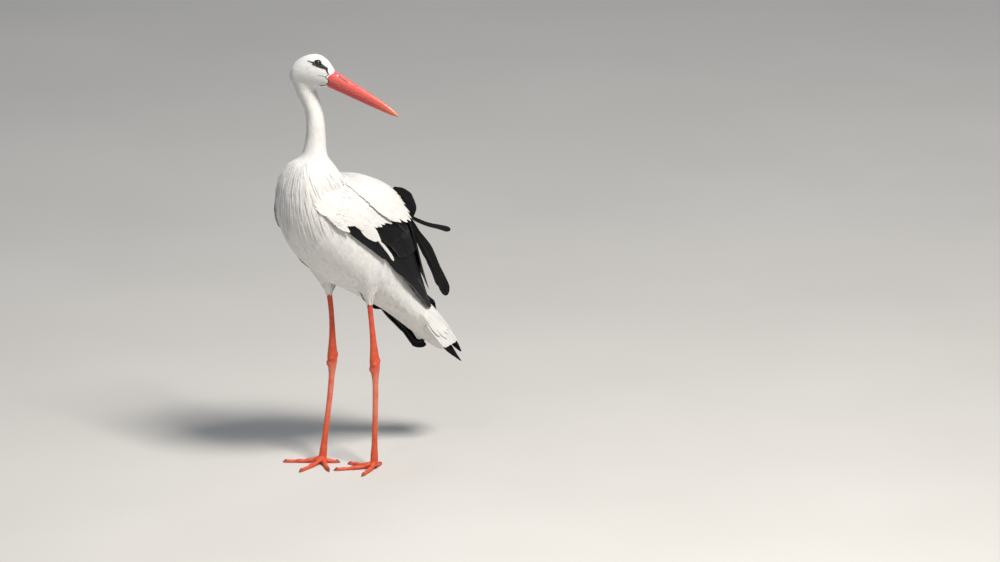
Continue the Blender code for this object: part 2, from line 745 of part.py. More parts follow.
def make_foot(side, name, leg_skin, claw_horn, parts, cutters):
    bodies = [leg_tube("ankle", side, ANKLE_CUT + 0.004, 0.006, None, parts)]
    for toe, degrees, length, joints in TOES[side]:
        rings = []
        for share in np.linspace(0, 1, 4 * joints + 5):
            radius = toe_radius(share, joints)
            centre = toe_line(side, degrees, length, share) + np.array([0, 0, 0.80 * radius])
            ahead = toe_line(side, degrees, length, share + 0.02)[:2] - centre[:2]
            ahead = ahead / np.linalg.norm(ahead)
            sideways = np.array([ahead[1], -ahead[0], 0.0])
            angles = math.tau * np.arange(12) / 12
            rings.append([centre + radius * (1.08 * math.cos(a) * sideways
                                             + 0.92 * math.sin(a) * np.array([0, 0, 1.0]))
                          for a in angles])
        bodies.append(loft("toe", rings, None, parts))
    foot = join("foot_" + name, bodies, leg_skin, parts)
    fuse(foot, 0.0016, 3, 300)
    trim(foot, (0, 0, 0), (0, 0, -1))
    trim(foot, (0, 0, ANKLE_CUT - GAP), (0, 0, 1))
    cutter = swollen(foot, GAP, cutters)
    for toe, degrees, length, joints in TOES[side]:
        claw = make_claw(f"claw_{name}_{toe}", side, degrees, length, claw_horn, parts)
        boolean(claw, cutter, "DIFFERENCE")


def make_claw(name, side, degrees, length, claw_horn, parts):
    rings = []
    tip = toe_line(side, degrees, length, 1.0)
    ahead = toe_line(side, degrees, length, 1.02) - tip
    ahead[2] = 0
    ahead /= np.linalg.norm(ahead)
    sideways = np.array([ahead[1], -ahead[0], 0.0])
    for share in np.linspace(0, 1, 4):
        radius = 0.0031 * (1 - share) ** 0.6 + 0.0004
        centre = tip + ahead * (CLAW * share - 0.004)
        centre[2] = 0.0044 * (1 - share ** 2) + 0.0009
        angles = math.tau * np.arange(5) / 5
        rings.append([centre + radius * (math.cos(a) * sideways + math.sin(a) * np.array([0, 0, 1.0]))
                      for a in angles])
    return loft(name, rings, claw_horn, parts)


def make_legs(trunk_cutter, feather_white, leg_skin, claw_horn, parts, cutters):
    for side, name in SIDES:
        make_thigh(side, name, trunk_cutter, feather_white, parts)
        leg_tube("tibia_" + name, side, THIGH_END[side] - GAP, HOCK_CUT + GAP, leg_skin, parts)
        leg_tube("tarsus_" + name, side, HOCK_CUT, ANKLE_CUT, leg_skin, parts)
        make_foot(side, name, leg_skin, claw_horn, parts, cutters)


# ---------------------------------------------------------------- the bird

def stand(parts, cutters):
    """Hangs every piece on an empty that puts the middle of the bird's base on the origin."""
    corners = np.array([vert.co for obj in parts.objects for vert in obj.data.vertices])
    low, high = corners.min(axis=0), corners.max(axis=0)
    root = bpy.data.objects.new("bird", None)
    root.location = (-(low[0] + high[0]) / 2, -(low[1] + high[1]) / 2, -low[2])
    for obj in (*parts.objects, *cutters.objects):
        obj.parent = root
    parts.objects.link(root)


def main():
    for obj in list(bpy.data.objects):
        bpy.data.objects.remove(obj)
    parts = bpy.data.collections.new(COLLECTION)
    cutters = bpy.data.collections.new("cutters")
    for collection in (parts, cutters):
        bpy.context.scene.collection.children.link(collection)

    feather_white = material("white_feathers", (0.80, 0.79, 0.76), 0.85)
    feather_black = material("black_feathers", (0.018, 0.016, 0.020), 0.60)
    horn = material("bill_horn", (0.66, 0.07, 0.05), 0.35)
    leg_skin = material("leg_skin", (0.68, 0.09, 0.04), 0.50)
    claw_horn = material("claw_horn", (0.05, 0.03, 0.03), 0.45)
    eye_black = material("eye", (0.010, 0.008, 0.008), 0.08)

    trunk, head = make_flesh(feather_white, parts)
    make_bill(head, horn, parts, cutters)
    make_eyes(head, eye_black, parts, cutters)
    trunk_cutter = swollen(trunk, GAP, cutters)
    groups = make_wings(trunk_cutter, feather_white, feather_black, parts)
    make_tail(trunk_cutter, feather_white, parts)
    make_loose_tertials(groups, feather_black, parts, cutters)
    make_legs(trunk_cutter, feather_white, leg_skin, claw_horn, parts, cutters)
    for obj in parts.objects:
        obj.data.shade_smooth()
        obj.data.set_sharp_from_angle(angle=math.radians(35.0))
    stand(parts, cutters)


main()
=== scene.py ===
"""The looks of an adult white stork, standing: skin, plumage, bill, eyes, legs and a pale studio.

Metres, +Z up. The bird faces -Y, its left side is +X, and its head is turned to its left.
The body is laid out along an axis that slopes down to the tail: s runs along the axis from the
breast to the tail, n is the height over the axis, and x is the distance to the left of it.
The plumage is made of vanes: thin closed blades, each with rows of points from root to tip.
"""

import math
from contextlib import contextmanager
from functools import partial

import bmesh
import bpy
import numpy as np
from mathutils import Matrix, Vector
from mathutils.bvhtree import BVHTree
from mathutils.kdtree import KDTree


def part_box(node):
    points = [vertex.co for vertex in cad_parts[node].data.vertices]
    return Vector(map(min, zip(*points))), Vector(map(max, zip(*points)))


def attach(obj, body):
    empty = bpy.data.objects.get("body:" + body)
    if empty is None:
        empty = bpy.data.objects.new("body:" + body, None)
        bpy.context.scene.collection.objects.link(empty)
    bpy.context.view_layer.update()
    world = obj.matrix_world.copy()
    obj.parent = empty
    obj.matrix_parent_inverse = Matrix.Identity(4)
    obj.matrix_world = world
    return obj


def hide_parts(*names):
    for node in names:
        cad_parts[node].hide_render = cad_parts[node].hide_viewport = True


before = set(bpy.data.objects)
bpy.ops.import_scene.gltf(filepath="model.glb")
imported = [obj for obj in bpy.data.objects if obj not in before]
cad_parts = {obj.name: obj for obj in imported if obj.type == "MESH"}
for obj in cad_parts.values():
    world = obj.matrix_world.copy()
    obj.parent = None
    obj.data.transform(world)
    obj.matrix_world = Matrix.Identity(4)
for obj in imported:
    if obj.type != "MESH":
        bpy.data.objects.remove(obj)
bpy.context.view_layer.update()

MM = 0.001
LEFT, RIGHT = 1, -1
SIDES = ((LEFT, "left"), (RIGHT, "right"))
RANDOM = np.random.default_rng(7)


def metres(rows, angles=False):
    """A table written in millimetres, in metres. With angles, its last column stays in degrees."""
    table = np.array(rows, float)
    lengths = table[:, :-1] if angles else table
    lengths[:] = np.round(lengths / 1000, 6)
    return table


# The body's axis, the head's place and the eyes', as in the solids
SLOPE = math.radians(42.0)
AXIS_START = np.array([0.0, -0.135, 0.655])
AXIS = np.array([0.0, math.cos(SLOPE), -math.sin(SLOPE)])
DORSAL = np.array([0.0, math.sin(SLOPE), math.cos(SLOPE)])
LEFTWARD = np.array([1.0, 0.0, 0.0])
UP = np.array([0.0, 0.0, 1.0])
HEAD_YAW = math.radians(28.0)
HEAD_PITCH = math.radians(21.0)
BILL_BASE = np.array([0.039, -0.0793, 0.9115])
FORWARD = np.array([
    math.cos(HEAD_YAW) * math.cos(HEAD_PITCH),
    math.sin(HEAD_YAW) * math.cos(HEAD_PITCH),
    -math.sin(HEAD_PITCH),
])
HEAD_RIGHT = np.array([math.sin(HEAD_YAW), -math.cos(HEAD_YAW), 0.0])
HEAD_UP = np.cross(HEAD_RIGHT, FORWARD)
EYE = np.array([-0.0395, 0.0146, 0.0358])  # forward, distance from the middle plane, up
EYE_RADIUS = 0.0072
EYE_OPENING = 0.0055
SHOWN_EYE = EYE + np.array([-0.0005, -0.0021, -0.0015])  # the dressed eyeball sits deeper and lower

# The neck's centre line: z, x, y
NECK_LINE = metres((
    (655, 0, -85), (690, 0, -92), (736, 0, -96), (785, 0, -91), (815, -1, -91), (838, -6, -91),
    (860, -14, -95), (880, -20, -101), (902, -23, -107),
))
FEATHER_EDGE = metres((  # u, f where the feathers of the forehead, cheek and chin give way to the bill
    (-16, -10), (-10, -7), (-4, -3.2), (1.7, -1.2), (7.1, -2.2), (10, -7), (12.4, -10.8),
    (15.5, -9), (19.6, -5.5), (22.5, -0.5), (25, 3.8), (28.8, 6),
))
BILL_LENGTH = 0.175
NOSTRIL = (0.012, 0.036)  # f where the slit starts and ends
BILL = metres((  # f, lower edge u, line between the mandibles u, upper edge u, half width
    (-14, -12.2, 8.7, 27.5, 14), (-4, -12.5, 8.5, 28.5, 14), (12, -11.8, 8.3, 27.5, 13),
    (40, -10.8, 8, 25.2, 11.2), (75, -9.6, 7.6, 21.6, 9.2), (110, -8.3, 6.7, 17.2, 7),
    (140, -6.6, 5, 12.5, 5), (162, -4.5, 2.5, 6.6, 3), (175, -1.6, 0.1, 1.6, 1),
))

# Wings: s, half width, top n, n of the widest place, for the smooth shell that they follow
WING = metres((
    (-20, 72, 66, 0), (0, 84, 70, 0), (40, 97, 87, 0), (82, 103, 104, 0), (112, 105, 122, 0),
    (144, 104, 134, 0), (170, 102, 142, 0), (231, 95, 146, 0), (273, 89, 138, 0),
    (327, 81, 107, 0), (367, 74, 81, -2), (415, 63, 55, -8), (466, 52, 32, -18),
    (540, 46, 14, -30), (600, 42, 2, -38), (660, 36, -10, -42),
))
LOWER_EDGE = {  # s, n of the folded wing's lower edge: the right wing hangs lower
    LEFT: metres((
        (-20, -6), (0, -14), (60, -18), (107, -18), (198, -8), (243, -4), (304, -2), (368, 8),
        (446, 12), (480, 10), (660, -30),
    )),
    RIGHT: metres((
        (-20, -4), (10, -18), (40, -42), (80, -62), (115, -76), (180, -89), (210, -88), (300, -74),
        (361, -63), (410, -66), (432, -52), (460, -56), (522, -60), (556, -69), (592, -54),
        (660, -40),
    )),
}
WING_SPREAD = {  # s, how much further out a wing's lower part stands
    LEFT: metres((
        (0, 0), (1000, 0),
    )),
    RIGHT: metres((
        (100, 0), (210, 5), (300, 10), (367, 18), (410, 23), (460, 28), (525, 24), (560, 18),
        (600, 6), (660, 0),
    )),
}
HANG = 0.100
PRIMARIES = {  # s, x, n, half width and lean of the folded stack of primaries
    LEFT: metres((
        (300, 60.5, 14, 14, 76), (350, 50, 14, 15, 74), (400, 34.5, 14, 15, 65),
        (430, 23.5, 13, 11, 43), (460, 10.5, 20.5, 9, 20), (490, -9, 23.5, 12, -8),
        (530, -25, 7.5, 13, -33), (570, -27, -1, 12, -35), (610, -24, -6.5, 11, -30),
        (635, -18, -13, 9, -22), (655, -12, -18, 4, -15),
    ), angles=True),
    RIGHT: metres((
        (300, -71, -40, 14, -80), (340, -67, -40, 18, -80), (420, -58, -32, 18, -80),
        (470, -51.5, -22, 16, -75), (520, -47, -12, 12, -66), (570, -49, -16, 12, -62),
        (610, -46, -18, 11, -58), (640, -26, -28, 10, -35), (664, -5, -36, 4, -10),
    ), angles=True),
}
LONG_TERTIAL = metres((
    (262, 32, 129, 3.2, -60), (284, 34, 126.5, 3.6, -60), (312, 35, 132, 4, -60),
    (337, 35, 140, 4.8, -60), (365, 35, 152, 6.2, -60), (386, 35, 160, 7.5, -60),
    (399, 35, 163, 6, -60),
), angles=True)
DROOPING_TERTIALS = metres((
    (262, 28, 126, 6, -50), (290, 33, 116, 6.5, -52), (320, 36, 105, 7, -55),
    (342, 36, 100, 10, -60), (368, 35, 94, 13, -60), (394, 35, 85, 12, -60),
    (420, 35, 75, 11, -60), (450, 34, 64, 13, -60), (478, 32, 53, 14, -60), (495, 30, 44, 12, -60),
), angles=True)
RAISED_TERTIALS = metres((
    (206, 16, 150.5, 8.5, -70), (225, 18, 153.5, 12.5, -70), (250, 20, 154.5, 15, -70),
    (272, 20, 148, 13.8, -70), (287, 20, 140, 12.5, -70), (297, 20, 129, 6, -70),
), angles=True)

# Tail: s, half width, ridge n, edge n
TAIL = metres((
    (360, 28, 22, -28), (400, 30, 19, -30), (460, 38, 14.5, -36), (520, 44, 9, -41),
    (570, 48, 0, -43), (612, 50, -10, -42),
))
TAIL_TURN = math.radians(80.0)
TAIL_ROOT = 0.405
TAIL_END = 0.602
TAIL_ROUNDING = 0.038  # how much shorter the outermost tail feathers are
RECTRICES = 12
UNDERTAIL = metres((  # s, half width, lowest n, n at its sides, of the soft feathers under the tail
    (400, 40, -67, -40), (440, 40, -63.5, -38), (480, 40, -60.5, -38), (520, 42, -58, -40),
    (550, 42, -55.5, -41), (575, 41, -52.5, -41), (600, 38, -48, -40),
))

# Legs: where each passes, then z and half width down the leg
LEG_PATH = {
    LEFT: metres((
        (49, 12, 470), (47, 24, 392), (52, 36, 240), (54, 32, 12),
    )),
    RIGHT: metres((
        (-50, -34, 480), (-45, -18, 404), (-52, -2, 240), (-57, -27, 12),
    )),
}
LEG = metres((
    (6, 9.2), (12, 9), (30, 8.4), (50, 7), (100, 6.3), (170, 6.5), (205, 7.2), (222, 9.4),
    (238, 11.2), (250, 11.2), (266, 9.6), (290, 7.6), (330, 6), (380, 6), (470, 6.4),
))
TOES = {  # direction in degrees from straight ahead to the bird's outer side, length, joints
    LEFT: (("outer", 29.0, 0.070, 4), ("middle", -27.0, 0.088, 3), ("inner", -70.0, 0.064, 2),
           ("hind", -155.0, 0.034, 1)),
    RIGHT: (("outer", 42.0, 0.084, 4), ("middle", -18.0, 0.092, 3), ("inner", -61.0, 0.074, 2),
            ("hind", -140.0, 0.034, 1)),
}
HOCK_SWELLINGS = metres((  # z, how far ahead of the leg's centre, how far to the bird's left, radius
    (230, -2.4, -2, 10.4), (250, 2.3, 1.9, 10.4), (237, 2, -2.5, 9.8), (243, -2.6, 2.1, 9.8),
))
TOE_ROOT, TOE_TIP = 0.0062, 0.0038  # radius
CLAW = 0.010  # length
THIGH_TOP = 0.475

FLESH = ("trunk", "neck", "head", "thigh_left", "thigh_right")  # the nodes that one skin replaces
SWELL = 0.5 * MM  # the copies of these nodes swell so that they surely meet

# How deep the skin lies under the outline of the coat
COAT_TRUNK, COAT_TAIL, COAT_NECK, COAT_HEAD, COAT_THIGH, COAT_FACE = (
    3.2 * MM, 2.6 * MM, 2.0 * MM, 1.1 * MM, 2.2 * MM, 0.6 * MM)


# ---------------------------------------------------------------- numbers

def spline(table, at):
    """The table's columns after the first, smoothly between its rows, at each value given."""
    table = np.asarray(table, float)
    x, y = table[:, 0], table[:, 1:]
    slope = np.gradient(y, x, axis=0)
    at = np.clip(np.asarray(at, float), x[0], x[-1])
    row = np.clip(np.searchsorted(x, at, side="right") - 1, 0, len(x) - 2)
    step = (x[row + 1] - x[row])[..., None]
    t = (at - x[row])[..., None] / step
    return (y[row] * (1 + 2 * t) * (1 - t) ** 2 + slope[row] * step * t * (1 - t) ** 2
            + y[row + 1] * t * t * (3 - 2 * t) + slope[row + 1] * step * t * t * (t - 1))


def between(table, at):
    """The table's second column at values of its first, by straight lines."""
    table = np.asarray(table, float)
    return np.interp(at, table[:, 0], table[:, 1])


def rise(low, high, value):
    """0 at low, 1 at high, smooth between."""
    t = np.clip((np.asarray(value, float) - low) / (high - low), 0.0, 1.0)
    return t * t * (3 - 2 * t)


def mix(a, b, share):
    return a + (b - a) * share


def unit(vectors):
    return vectors / np.maximum(np.linalg.norm(vectors, axis=-1, keepdims=True), 1e-12)


def dot(a, b):
    return np.sum(a * b, axis=-1, keepdims=True)


def stack3(x, y, z):
    return np.stack(np.broadcast_arrays(x, y, z), axis=-1).astype(float)


def point_at(base, *distances):
    """The point at these distances along a base's three axes."""
    place = base[0]
    for distance, axis in zip(distances, base[1:]):
        place = place + np.asarray(distance, float)[..., None] * axis
    return place


def place_in(base, points):
    """How far points lie along each of a base's axes."""
    return tuple((points - base[0]) @ axis for axis in base[1:])


# x, s and n along the body; forward, to the head's right and up in the head
body_point = partial(point_at, (AXIS_START, LEFTWARD, AXIS, DORSAL))
body_place = partial(place_in, (AXIS_START, LEFTWARD, AXIS, DORSAL))
head_point = partial(point_at, (BILL_BASE, FORWARD, HEAD_RIGHT, HEAD_UP))
head_place = partial(place_in, (BILL_BASE, FORWARD, HEAD_RIGHT, HEAD_UP))


def place_in_frame():
    """What takes a point of the tables to its place in the frame: the eyes say where that is."""
    boxes = [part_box("eye_" + name) for _, name in SIDES]
    return np.mean(np.concatenate(boxes), axis=0) - head_point(EYE[0], 0.0, EYE[2])


OFFSET = place_in_frame()


# ---------------------------------------------------------------- meshes

def finish_piece(obj, finish, slot, *nodes):
    obj.data.materials.clear()
    obj.data.materials.append(finish)
    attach(obj, "root")
    if nodes:
        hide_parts(*nodes)
    return obj


def add_object(name, data):
    obj = bpy.data.objects.new(name, data)
    bpy.context.scene.collection.objects.link(obj)
    return obj


def mesh_object(name, points, faces):
    mesh = bpy.data.meshes.new(name)
    mesh.from_pydata((np.asarray(points) + OFFSET).reshape(-1, 3).tolist(), [], faces)
    mesh.update()
    mesh.shade_smooth()
    return add_object(name, mesh)


def melt(obj, voxel, rounds):
    """Joins the closed shapes of the object's mesh into one, and smooths it."""
    remesh = obj.modifiers.new("melt", "REMESH")
    remesh.mode = "VOXEL"
    remesh.voxel_size = voxel
    smooth = obj.modifiers.new("smooth", "SMOOTH")
    smooth.factor = 0.5
    smooth.iterations = rounds
    graph = bpy.context.evaluated_depsgraph_get()
    mesh = bpy.data.meshes.new_from_object(obj.evaluated_get(graph))
    obj.modifiers.clear()
    old, obj.data = obj.data, mesh
    bpy.data.meshes.remove(old)
    mesh.shade_smooth()


@contextmanager
def editing(mesh):
    """The mesh in a form that can be edited, which is put back at the end."""
    bm = bmesh.new()
    bm.from_mesh(mesh)
    yield bm
    bm.to_mesh(mesh)
    bm.free()


def points_of(mesh):
    """The mesh's points in the tables' own space, and their normals."""
    flat = np.empty(3 * len(mesh.vertices), np.float32)
    mesh.vertices.foreach_get("co", flat)
    points = flat.reshape(-1, 3).astype(float) - OFFSET
    mesh.vertices.foreach_get("normal", flat)
    return points, flat.reshape(-1, 3).astype(float)


def move_points(mesh, points):
    mesh.vertices.foreach_set("co", (points + OFFSET).astype(np.float32).ravel())
    mesh.update()


def paint(mesh, name, values):
    """One number for each point of the mesh."""
    layer = mesh.attributes.new(name, "FLOAT", "POINT")
    layer.data.foreach_set("value", np.asarray(values, np.float32).ravel())


def add_map(mesh, name, across, up):
    """A UV map with the same place for a point in each of its faces."""
    corners = np.empty(len(mesh.loops), np.int32)
    mesh.loops.foreach_get("vertex_index", corners)
    places = np.stack(np.broadcast_arrays(across, up), axis=-1).reshape(-1, 2)
    mesh.uv_layers.new(name=name).data.foreach_set("uv", places.astype(np.float32)[corners].ravel())


def tube_faces(rings, around, closed_ends=True):
    """Quads between rings of points, and a face on each end."""
    ring, k = np.meshgrid(np.arange(rings - 1) * around, np.arange(around), indexing="ij")
    after = (k + 1) % around
    quads = np.stack([ring + k, ring + after, ring + around + after, ring + around + k], axis=-1)
    faces = quads.reshape(-1, 4).tolist()
    if closed_ends:
        faces.append(list(range(around))[::-1])
        faces.append(list(range((rings - 1) * around, rings * around)))
    return faces


def outward(obj):
    """Turns the faces of a closed mesh outwards."""
    with editing(obj.data) as bm:
        bmesh.ops.recalc_face_normals(bm, faces=bm.faces)
    return obj


def even_out(bm, chosen, rounds):
    """Smooths the points of a mesh that are chosen by their place."""
    places = np.array([vert.co for vert in bm.verts]) - OFFSET
    verts = [vert for vert, take in zip(bm.verts, chosen(places)) if take]
    for _ in range(rounds):
        bmesh.ops.smooth_vert(bm, verts=verts, factor=0.5, use_axis_x=True, use_axis_y=True,
                              use_axis_z=True)


# ---------------------------------------------------------------- vanes

BAKE_PATCH = 0.003  # how much of the map named OFBake one feather takes
VANE_UNIT = 0.01  # metres to one unit of the map named vane


def vane_faces(count, rows, around):
    """Faces of many closed blades, each of rows of points in a flat loop."""
    blade = np.array(tube_faces(rows, around, closed_ends=False))
    start = (np.arange(count) * rows * around)[:, None, None]
    quads = (start + blade[None]).reshape(-1, 4).tolist()
    first = np.arange(count)[:, None] * rows * around
    quads += (first + np.arange(around)[::-1]).tolist()
    quads += (first + (rows - 1) * around + np.arange(around)).tolist()
    return quads


def marks_for(count, **extra):
    """Numbers for each blade, which its material reads."""
    return {"tone": RANDOM.random(count), **extra}


def vanes(name, spine, normal, left, right, bake, marks, thick=0.5 * MM, camber=0.12, roll=0.0,
          columns=5, shaft=0.0, soft=0.0):
    """Closed blades along lines of points.

    spine and normal are (blades, rows, 3); left and right are half widths, (blades, rows); bake is
    the root's place on the unwrapped skin; marks are numbers for each blade, for its material.
    soft turns the shading normals towards those of the surface below, as down lets light through.
    """
    count, rows = spine.shape[:2]
    along = unit(np.gradient(spine, axis=1))
    normal = unit(normal - dot(normal, along) * along)
    across = np.cross(along, normal)
    if columns == 3:
        reach = np.array([-1.0, 0.0, 1.0])
    else:
        reach = np.sin(np.linspace(-1, 1, columns) * math.pi / 2)
    loop = np.concatenate([reach, reach[-2:0:-1]])
    face = np.concatenate([np.ones(columns), -np.ones(columns - 2)])
    edge = np.abs(loop) > 0.999
    sideways = np.where(loop[None, None] < 0, left[..., None], right[..., None]) * loop
    widest = np.maximum(left, right)[..., None]
    body = np.where(edge, 0.0, face * 0.5) * np.minimum(thick, widest)
    ridge = shaft * np.exp(-(loop / 0.16) ** 2) * (face > 0)
    roll = np.broadcast_to(np.asarray(roll, float).reshape(-1, 1, 1), (count, 1, 1))
    lift = body + ridge - camber * sideways ** 2 / np.maximum(widest, 1e-6) + roll * sideways
    points = (spine[:, :, None] + sideways[..., None] * across[:, :, None]
              + lift[..., None] * normal[:, :, None])
    around = len(loop)
    obj = mesh_object(name, points, vane_faces(count, rows, around))
    mesh = obj.data
    share = np.broadcast_to(np.linspace(0, 1, rows)[:, None], sideways.shape)
    steps = np.linalg.norm(np.diff(spine, axis=1), axis=-1)
    length = np.concatenate([np.zeros((count, 1)), np.cumsum(steps, axis=1)], axis=1)
    length = np.broadcast_to(length[..., None], sideways.shape)
    bake = bake[:, None, None]
    add_map(mesh, "OFBake", bake[..., 0] + loop * 0.5 * BAKE_PATCH, bake[..., 1] + (share - 0.5) * BAKE_PATCH)
    add_map(mesh, "vane", sideways / VANE_UNIT, length / VANE_UNIT)
    paint(mesh, "tip", share)
    paint(mesh, "web", np.broadcast_to(loop, share.shape))
    for mark, values in marks.items():
        paint(mesh, mark, np.broadcast_to(np.asarray(values, float).reshape(count, 1, 1), share.shape))
    if soft:
        _, own = points_of(mesh)
        below = normal[:, :, None] * np.where(edge | (face > 0), 1.0, -1.0)[:, None]
        wanted = unit(mix(own, below.reshape(-1, 3), soft))
        mesh.normals_split_custom_set_from_vertices(wanted.tolist())
    return obj


def steps_along(rows):
    """Shares of the way along a long feather, closer together at its tip."""
    return np.sin(np.linspace(0, 1, rows) * math.pi / 2) ** 0.9


def rounded(v, tip, power=0.5):
    """A feather's width where the last `tip` of it rounds off, as a share: v runs from root to tip."""
    left = np.clip((1 - v) / tip, 0.0, 1.0)
    return np.maximum(1 - (1 - left) ** 2, 0.0004) ** power


def outline(rows, tip):
    """Half widths of a small feather from root to tip, as shares of the widest."""
    v = np.linspace(0, 1, rows)
    return mix(0.35, 1.0, rise(0.0, 0.35, v)) * rounded(v, tip)


def nicked(half, deepest, whole):
    """The half widths with a few notches: `whole` is the share of places that have none."""
    return half * (1 - deepest * (RANDOM.random(half.shape) > whole) * RANDOM.random(half.shape))


# ---------------------------------------------------------------- skin

def face_mask(points):
    """1 on the bare black skin of the face and round the eyes, 0 where feathers grow."""
    f, _, u = (value / MM for value in head_place(points))
    lines = (  # each from one (f, u, half width) to another, in millimetres
        ((-64.0, 27.8, 0.6), (-50.0, 31.0, 1.9)), ((-45.0, 29.4, 5.0), (-31.0, 31.0, 5.0)),
        ((-31.0, 31.0, 5.0), (-17.0, 30.0, 2.7)), ((-17.0, 30.0, 2.7), (-13.3, 25.0, 1.5)),
        ((-13.3, 25.0, 1.5), (-7.6, 19.6, 1.0)), ((-7.6, 19.6, 1.0), (-12.0, 12.6, 0.7)),
        ((-12.0, 12.6, 0.9), (-28.0, 9.8, 0.4)), ((-12.0, 12.6, 0.9), (-3.4, 7.1, 0.9)),
        ((-3.4, 7.1, 0.9), (-2.4, 1.7, 0.9)), ((-2.4, 1.7, 0.9), (-5.6, -7.0, 0.9)),
        ((-5.6, -7.0, 0.9), (-16.0, -13.3, 1.4)),
    )
    gap = (np.hypot((f + 40.4) / 8.9, (u - 33.8) / 7.4) - 1) * 7.4
    for (f0, u0, r0), (f1, u1, r1) in lines:
        span = np.array([f1 - f0, u1 - u0])
        share = np.clip(((f - f0) * span[0] + (u - u0) * span[1]) / (span @ span), 0, 1)
        reach = np.hypot(f - f0 - share * span[0], u - u0 - share * span[1])
        gap = np.minimum(gap, reach - mix(r0, r1, share))
    return 1 - rise(-0.5, 0.5, gap)


def regions(points):
    """Shares of head, neck and thigh at each point, and s along the body."""
    _, s, _ = body_place(points)
    head = rise(-0.050, -0.028, head_place(points)[2])
    neck = rise(0.700, 0.765, points[..., 2]) * (1 - head)
    thigh = np.zeros(points.shape[:-1])
    for side, _ in SIDES:
        centre = leg_centre(side, points[..., 2])
        far = np.hypot(points[..., 0] - centre[..., 0], points[..., 1] - centre[..., 1])
        thigh = np.maximum(thigh, 1 - rise(0.046, 0.062, far))
    thigh = thigh * (1 - rise(0.445, THIGH_TOP, points[..., 2]))
    return head, neck, thigh, s


def coat_depth(points):
    head, neck, thigh, s = regions(points)
    depth = mix(COAT_TRUNK, COAT_TAIL, rise(0.42, 0.52, s))
    depth = mix(depth, COAT_THIGH, thigh)
    depth = mix(depth, COAT_NECK, neck)
    depth = mix(depth, COAT_HEAD, head)
    return mix(depth, COAT_FACE, face_mask(points) * head)


def leg_centre(side, z):
    path = [(-point[2], point[0], point[1]) for point in LEG_PATH[side]]
    return spline(path, -np.asarray(z, float))


def make_skin():
    """One skin over the nodes of flesh, inside their outline by the coat's depth."""
    everything = bmesh.new()
    for node in FLESH:
        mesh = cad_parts[node].data.copy()
        with editing(mesh) as bm:
            bmesh.ops.remove_doubles(bm, verts=bm.verts, dist=2e-6)
            bm.normal_update()
            for vert, normal in [(vert, vert.normal.copy()) for vert in bm.verts]:
                vert.co += normal * SWELL
        everything.from_mesh(mesh)
        bpy.data.meshes.remove(mesh)
    mesh = bpy.data.meshes.new("skin")
    everything.to_mesh(mesh)
    everything.free()
    skin = add_object("skin", mesh)
    melt(skin, 3.1 * MM, 14)
    refine_head(skin.data)
    points, normals = points_of(skin.data)
    move_points(skin.data, points - normals * coat_depth(points)[:, None])
    with editing(skin.data) as bm:
        even_out(bm, lambda places: regions(places)[0] < 0.5, 6)
    shape_face(skin.data)
    points, _ = points_of(skin.data)
    paint(skin.data, "bare", face_mask(points) * regions(points)[0])
    add_map(skin.data, "OFBake", *unwrap(points).T)
    skin.data.shade_smooth()
    return skin


def refine_head(mesh):
    """Cuts the head's faces finer, twice, and rounds them."""
    with editing(mesh) as bm:
        for finer, behind in ((-0.040, -0.2), (-0.034, -0.068)):
            centres = np.array([face.calc_center_median() for face in bm.faces]) - OFFSET
            f, _, u = head_place(centres)
            chosen = (u > finer) & (f > behind)
            edges = {edge for face, take in zip(bm.faces, chosen) if take for edge in face.edges}
            bmesh.ops.subdivide_edges(bm, edges=list(edges), cuts=1, use_grid_fill=True)
            even_out(bm, lambda places: head_place(places)[2] > finer - 0.004, 4)


def shape_face(mesh):
    """Lids that hug the eyes, a brow over them, and a sunken bed under each eyeball."""
    points, _ = points_of(mesh)
    f, across, u = head_place(points)
    for side, _ in SIDES:
        out = -side * across
        ahead, above = f - SHOWN_EYE[0], u - SHOWN_EYE[2]
        reach = np.hypot(ahead, above)
        near = (out > 0) & (reach < 0.016)
        ball = SHOWN_EYE[1] + np.sqrt(np.maximum(EYE_RADIUS ** 2 - reach ** 2, 0.0))
        brow = 0.45 * MM * np.exp(-((above - 0.0058) / 0.0020) ** 2 - (ahead / 0.0070) ** 2)
        fade = mix(4.6 * MM, 3.2 * MM, rise(0.0, 0.004, above))
        blend = 1 - rise(EYE_OPENING + 0.6 * MM, EYE_OPENING + fade, reach)
        raised = mix(out, np.maximum(ball + 0.35 * MM, out), blend) + brow
        inside = rise(EYE_OPENING + 0.15 * MM, EYE_OPENING - 0.55 * MM, reach)
        raised = mix(raised, ball - 1.6 * MM, inside)
        across = np.where(near, -side * raised, across)
    move_points(mesh, head_point(f, across, u))


def unwrap(points):
    """The skin's own unwrap: round the body's axis, round the neck, the head and each thigh."""
    head, neck, thigh, s = regions(points)
    x, _, n = body_place(points)
    f, across, u = head_place(points)
    z = points[..., 2]
    centre = spline(NECK_LINE, z)
    turn = np.arctan2(x - centre[..., 0], points[..., 1] - centre[..., 1]) / math.tau + 0.5
    chosen = (0.02 + 0.5 * (np.arctan2(x, n + 0.01) / math.tau + 0.5), 0.02 + 0.9 * (s + 0.06) / 0.62)
    for share, across_map, up_map in (
        (thigh, 0.79 + 0.1 * (x > 0) + 0.08 * turn, 0.05 + 2.4 * (z - 0.36)),
        (neck, 0.56 + 0.2 * turn, 0.05 + 0.9 * (z - 0.68) / 0.24),
        (head, 0.79 + 0.2 * (np.arctan2(across, u - 0.005) / math.tau + 0.5), 0.5 + (f + 0.1) * 3.5),
    ):
        chosen = [np.where(share > 0.5, new, old) for new, old in zip((across_map, up_map), chosen)]
    return np.clip(np.stack(chosen, axis=-1), 0.0, 1.0)


# ---------------------------------------------------------------- the coat on the skin

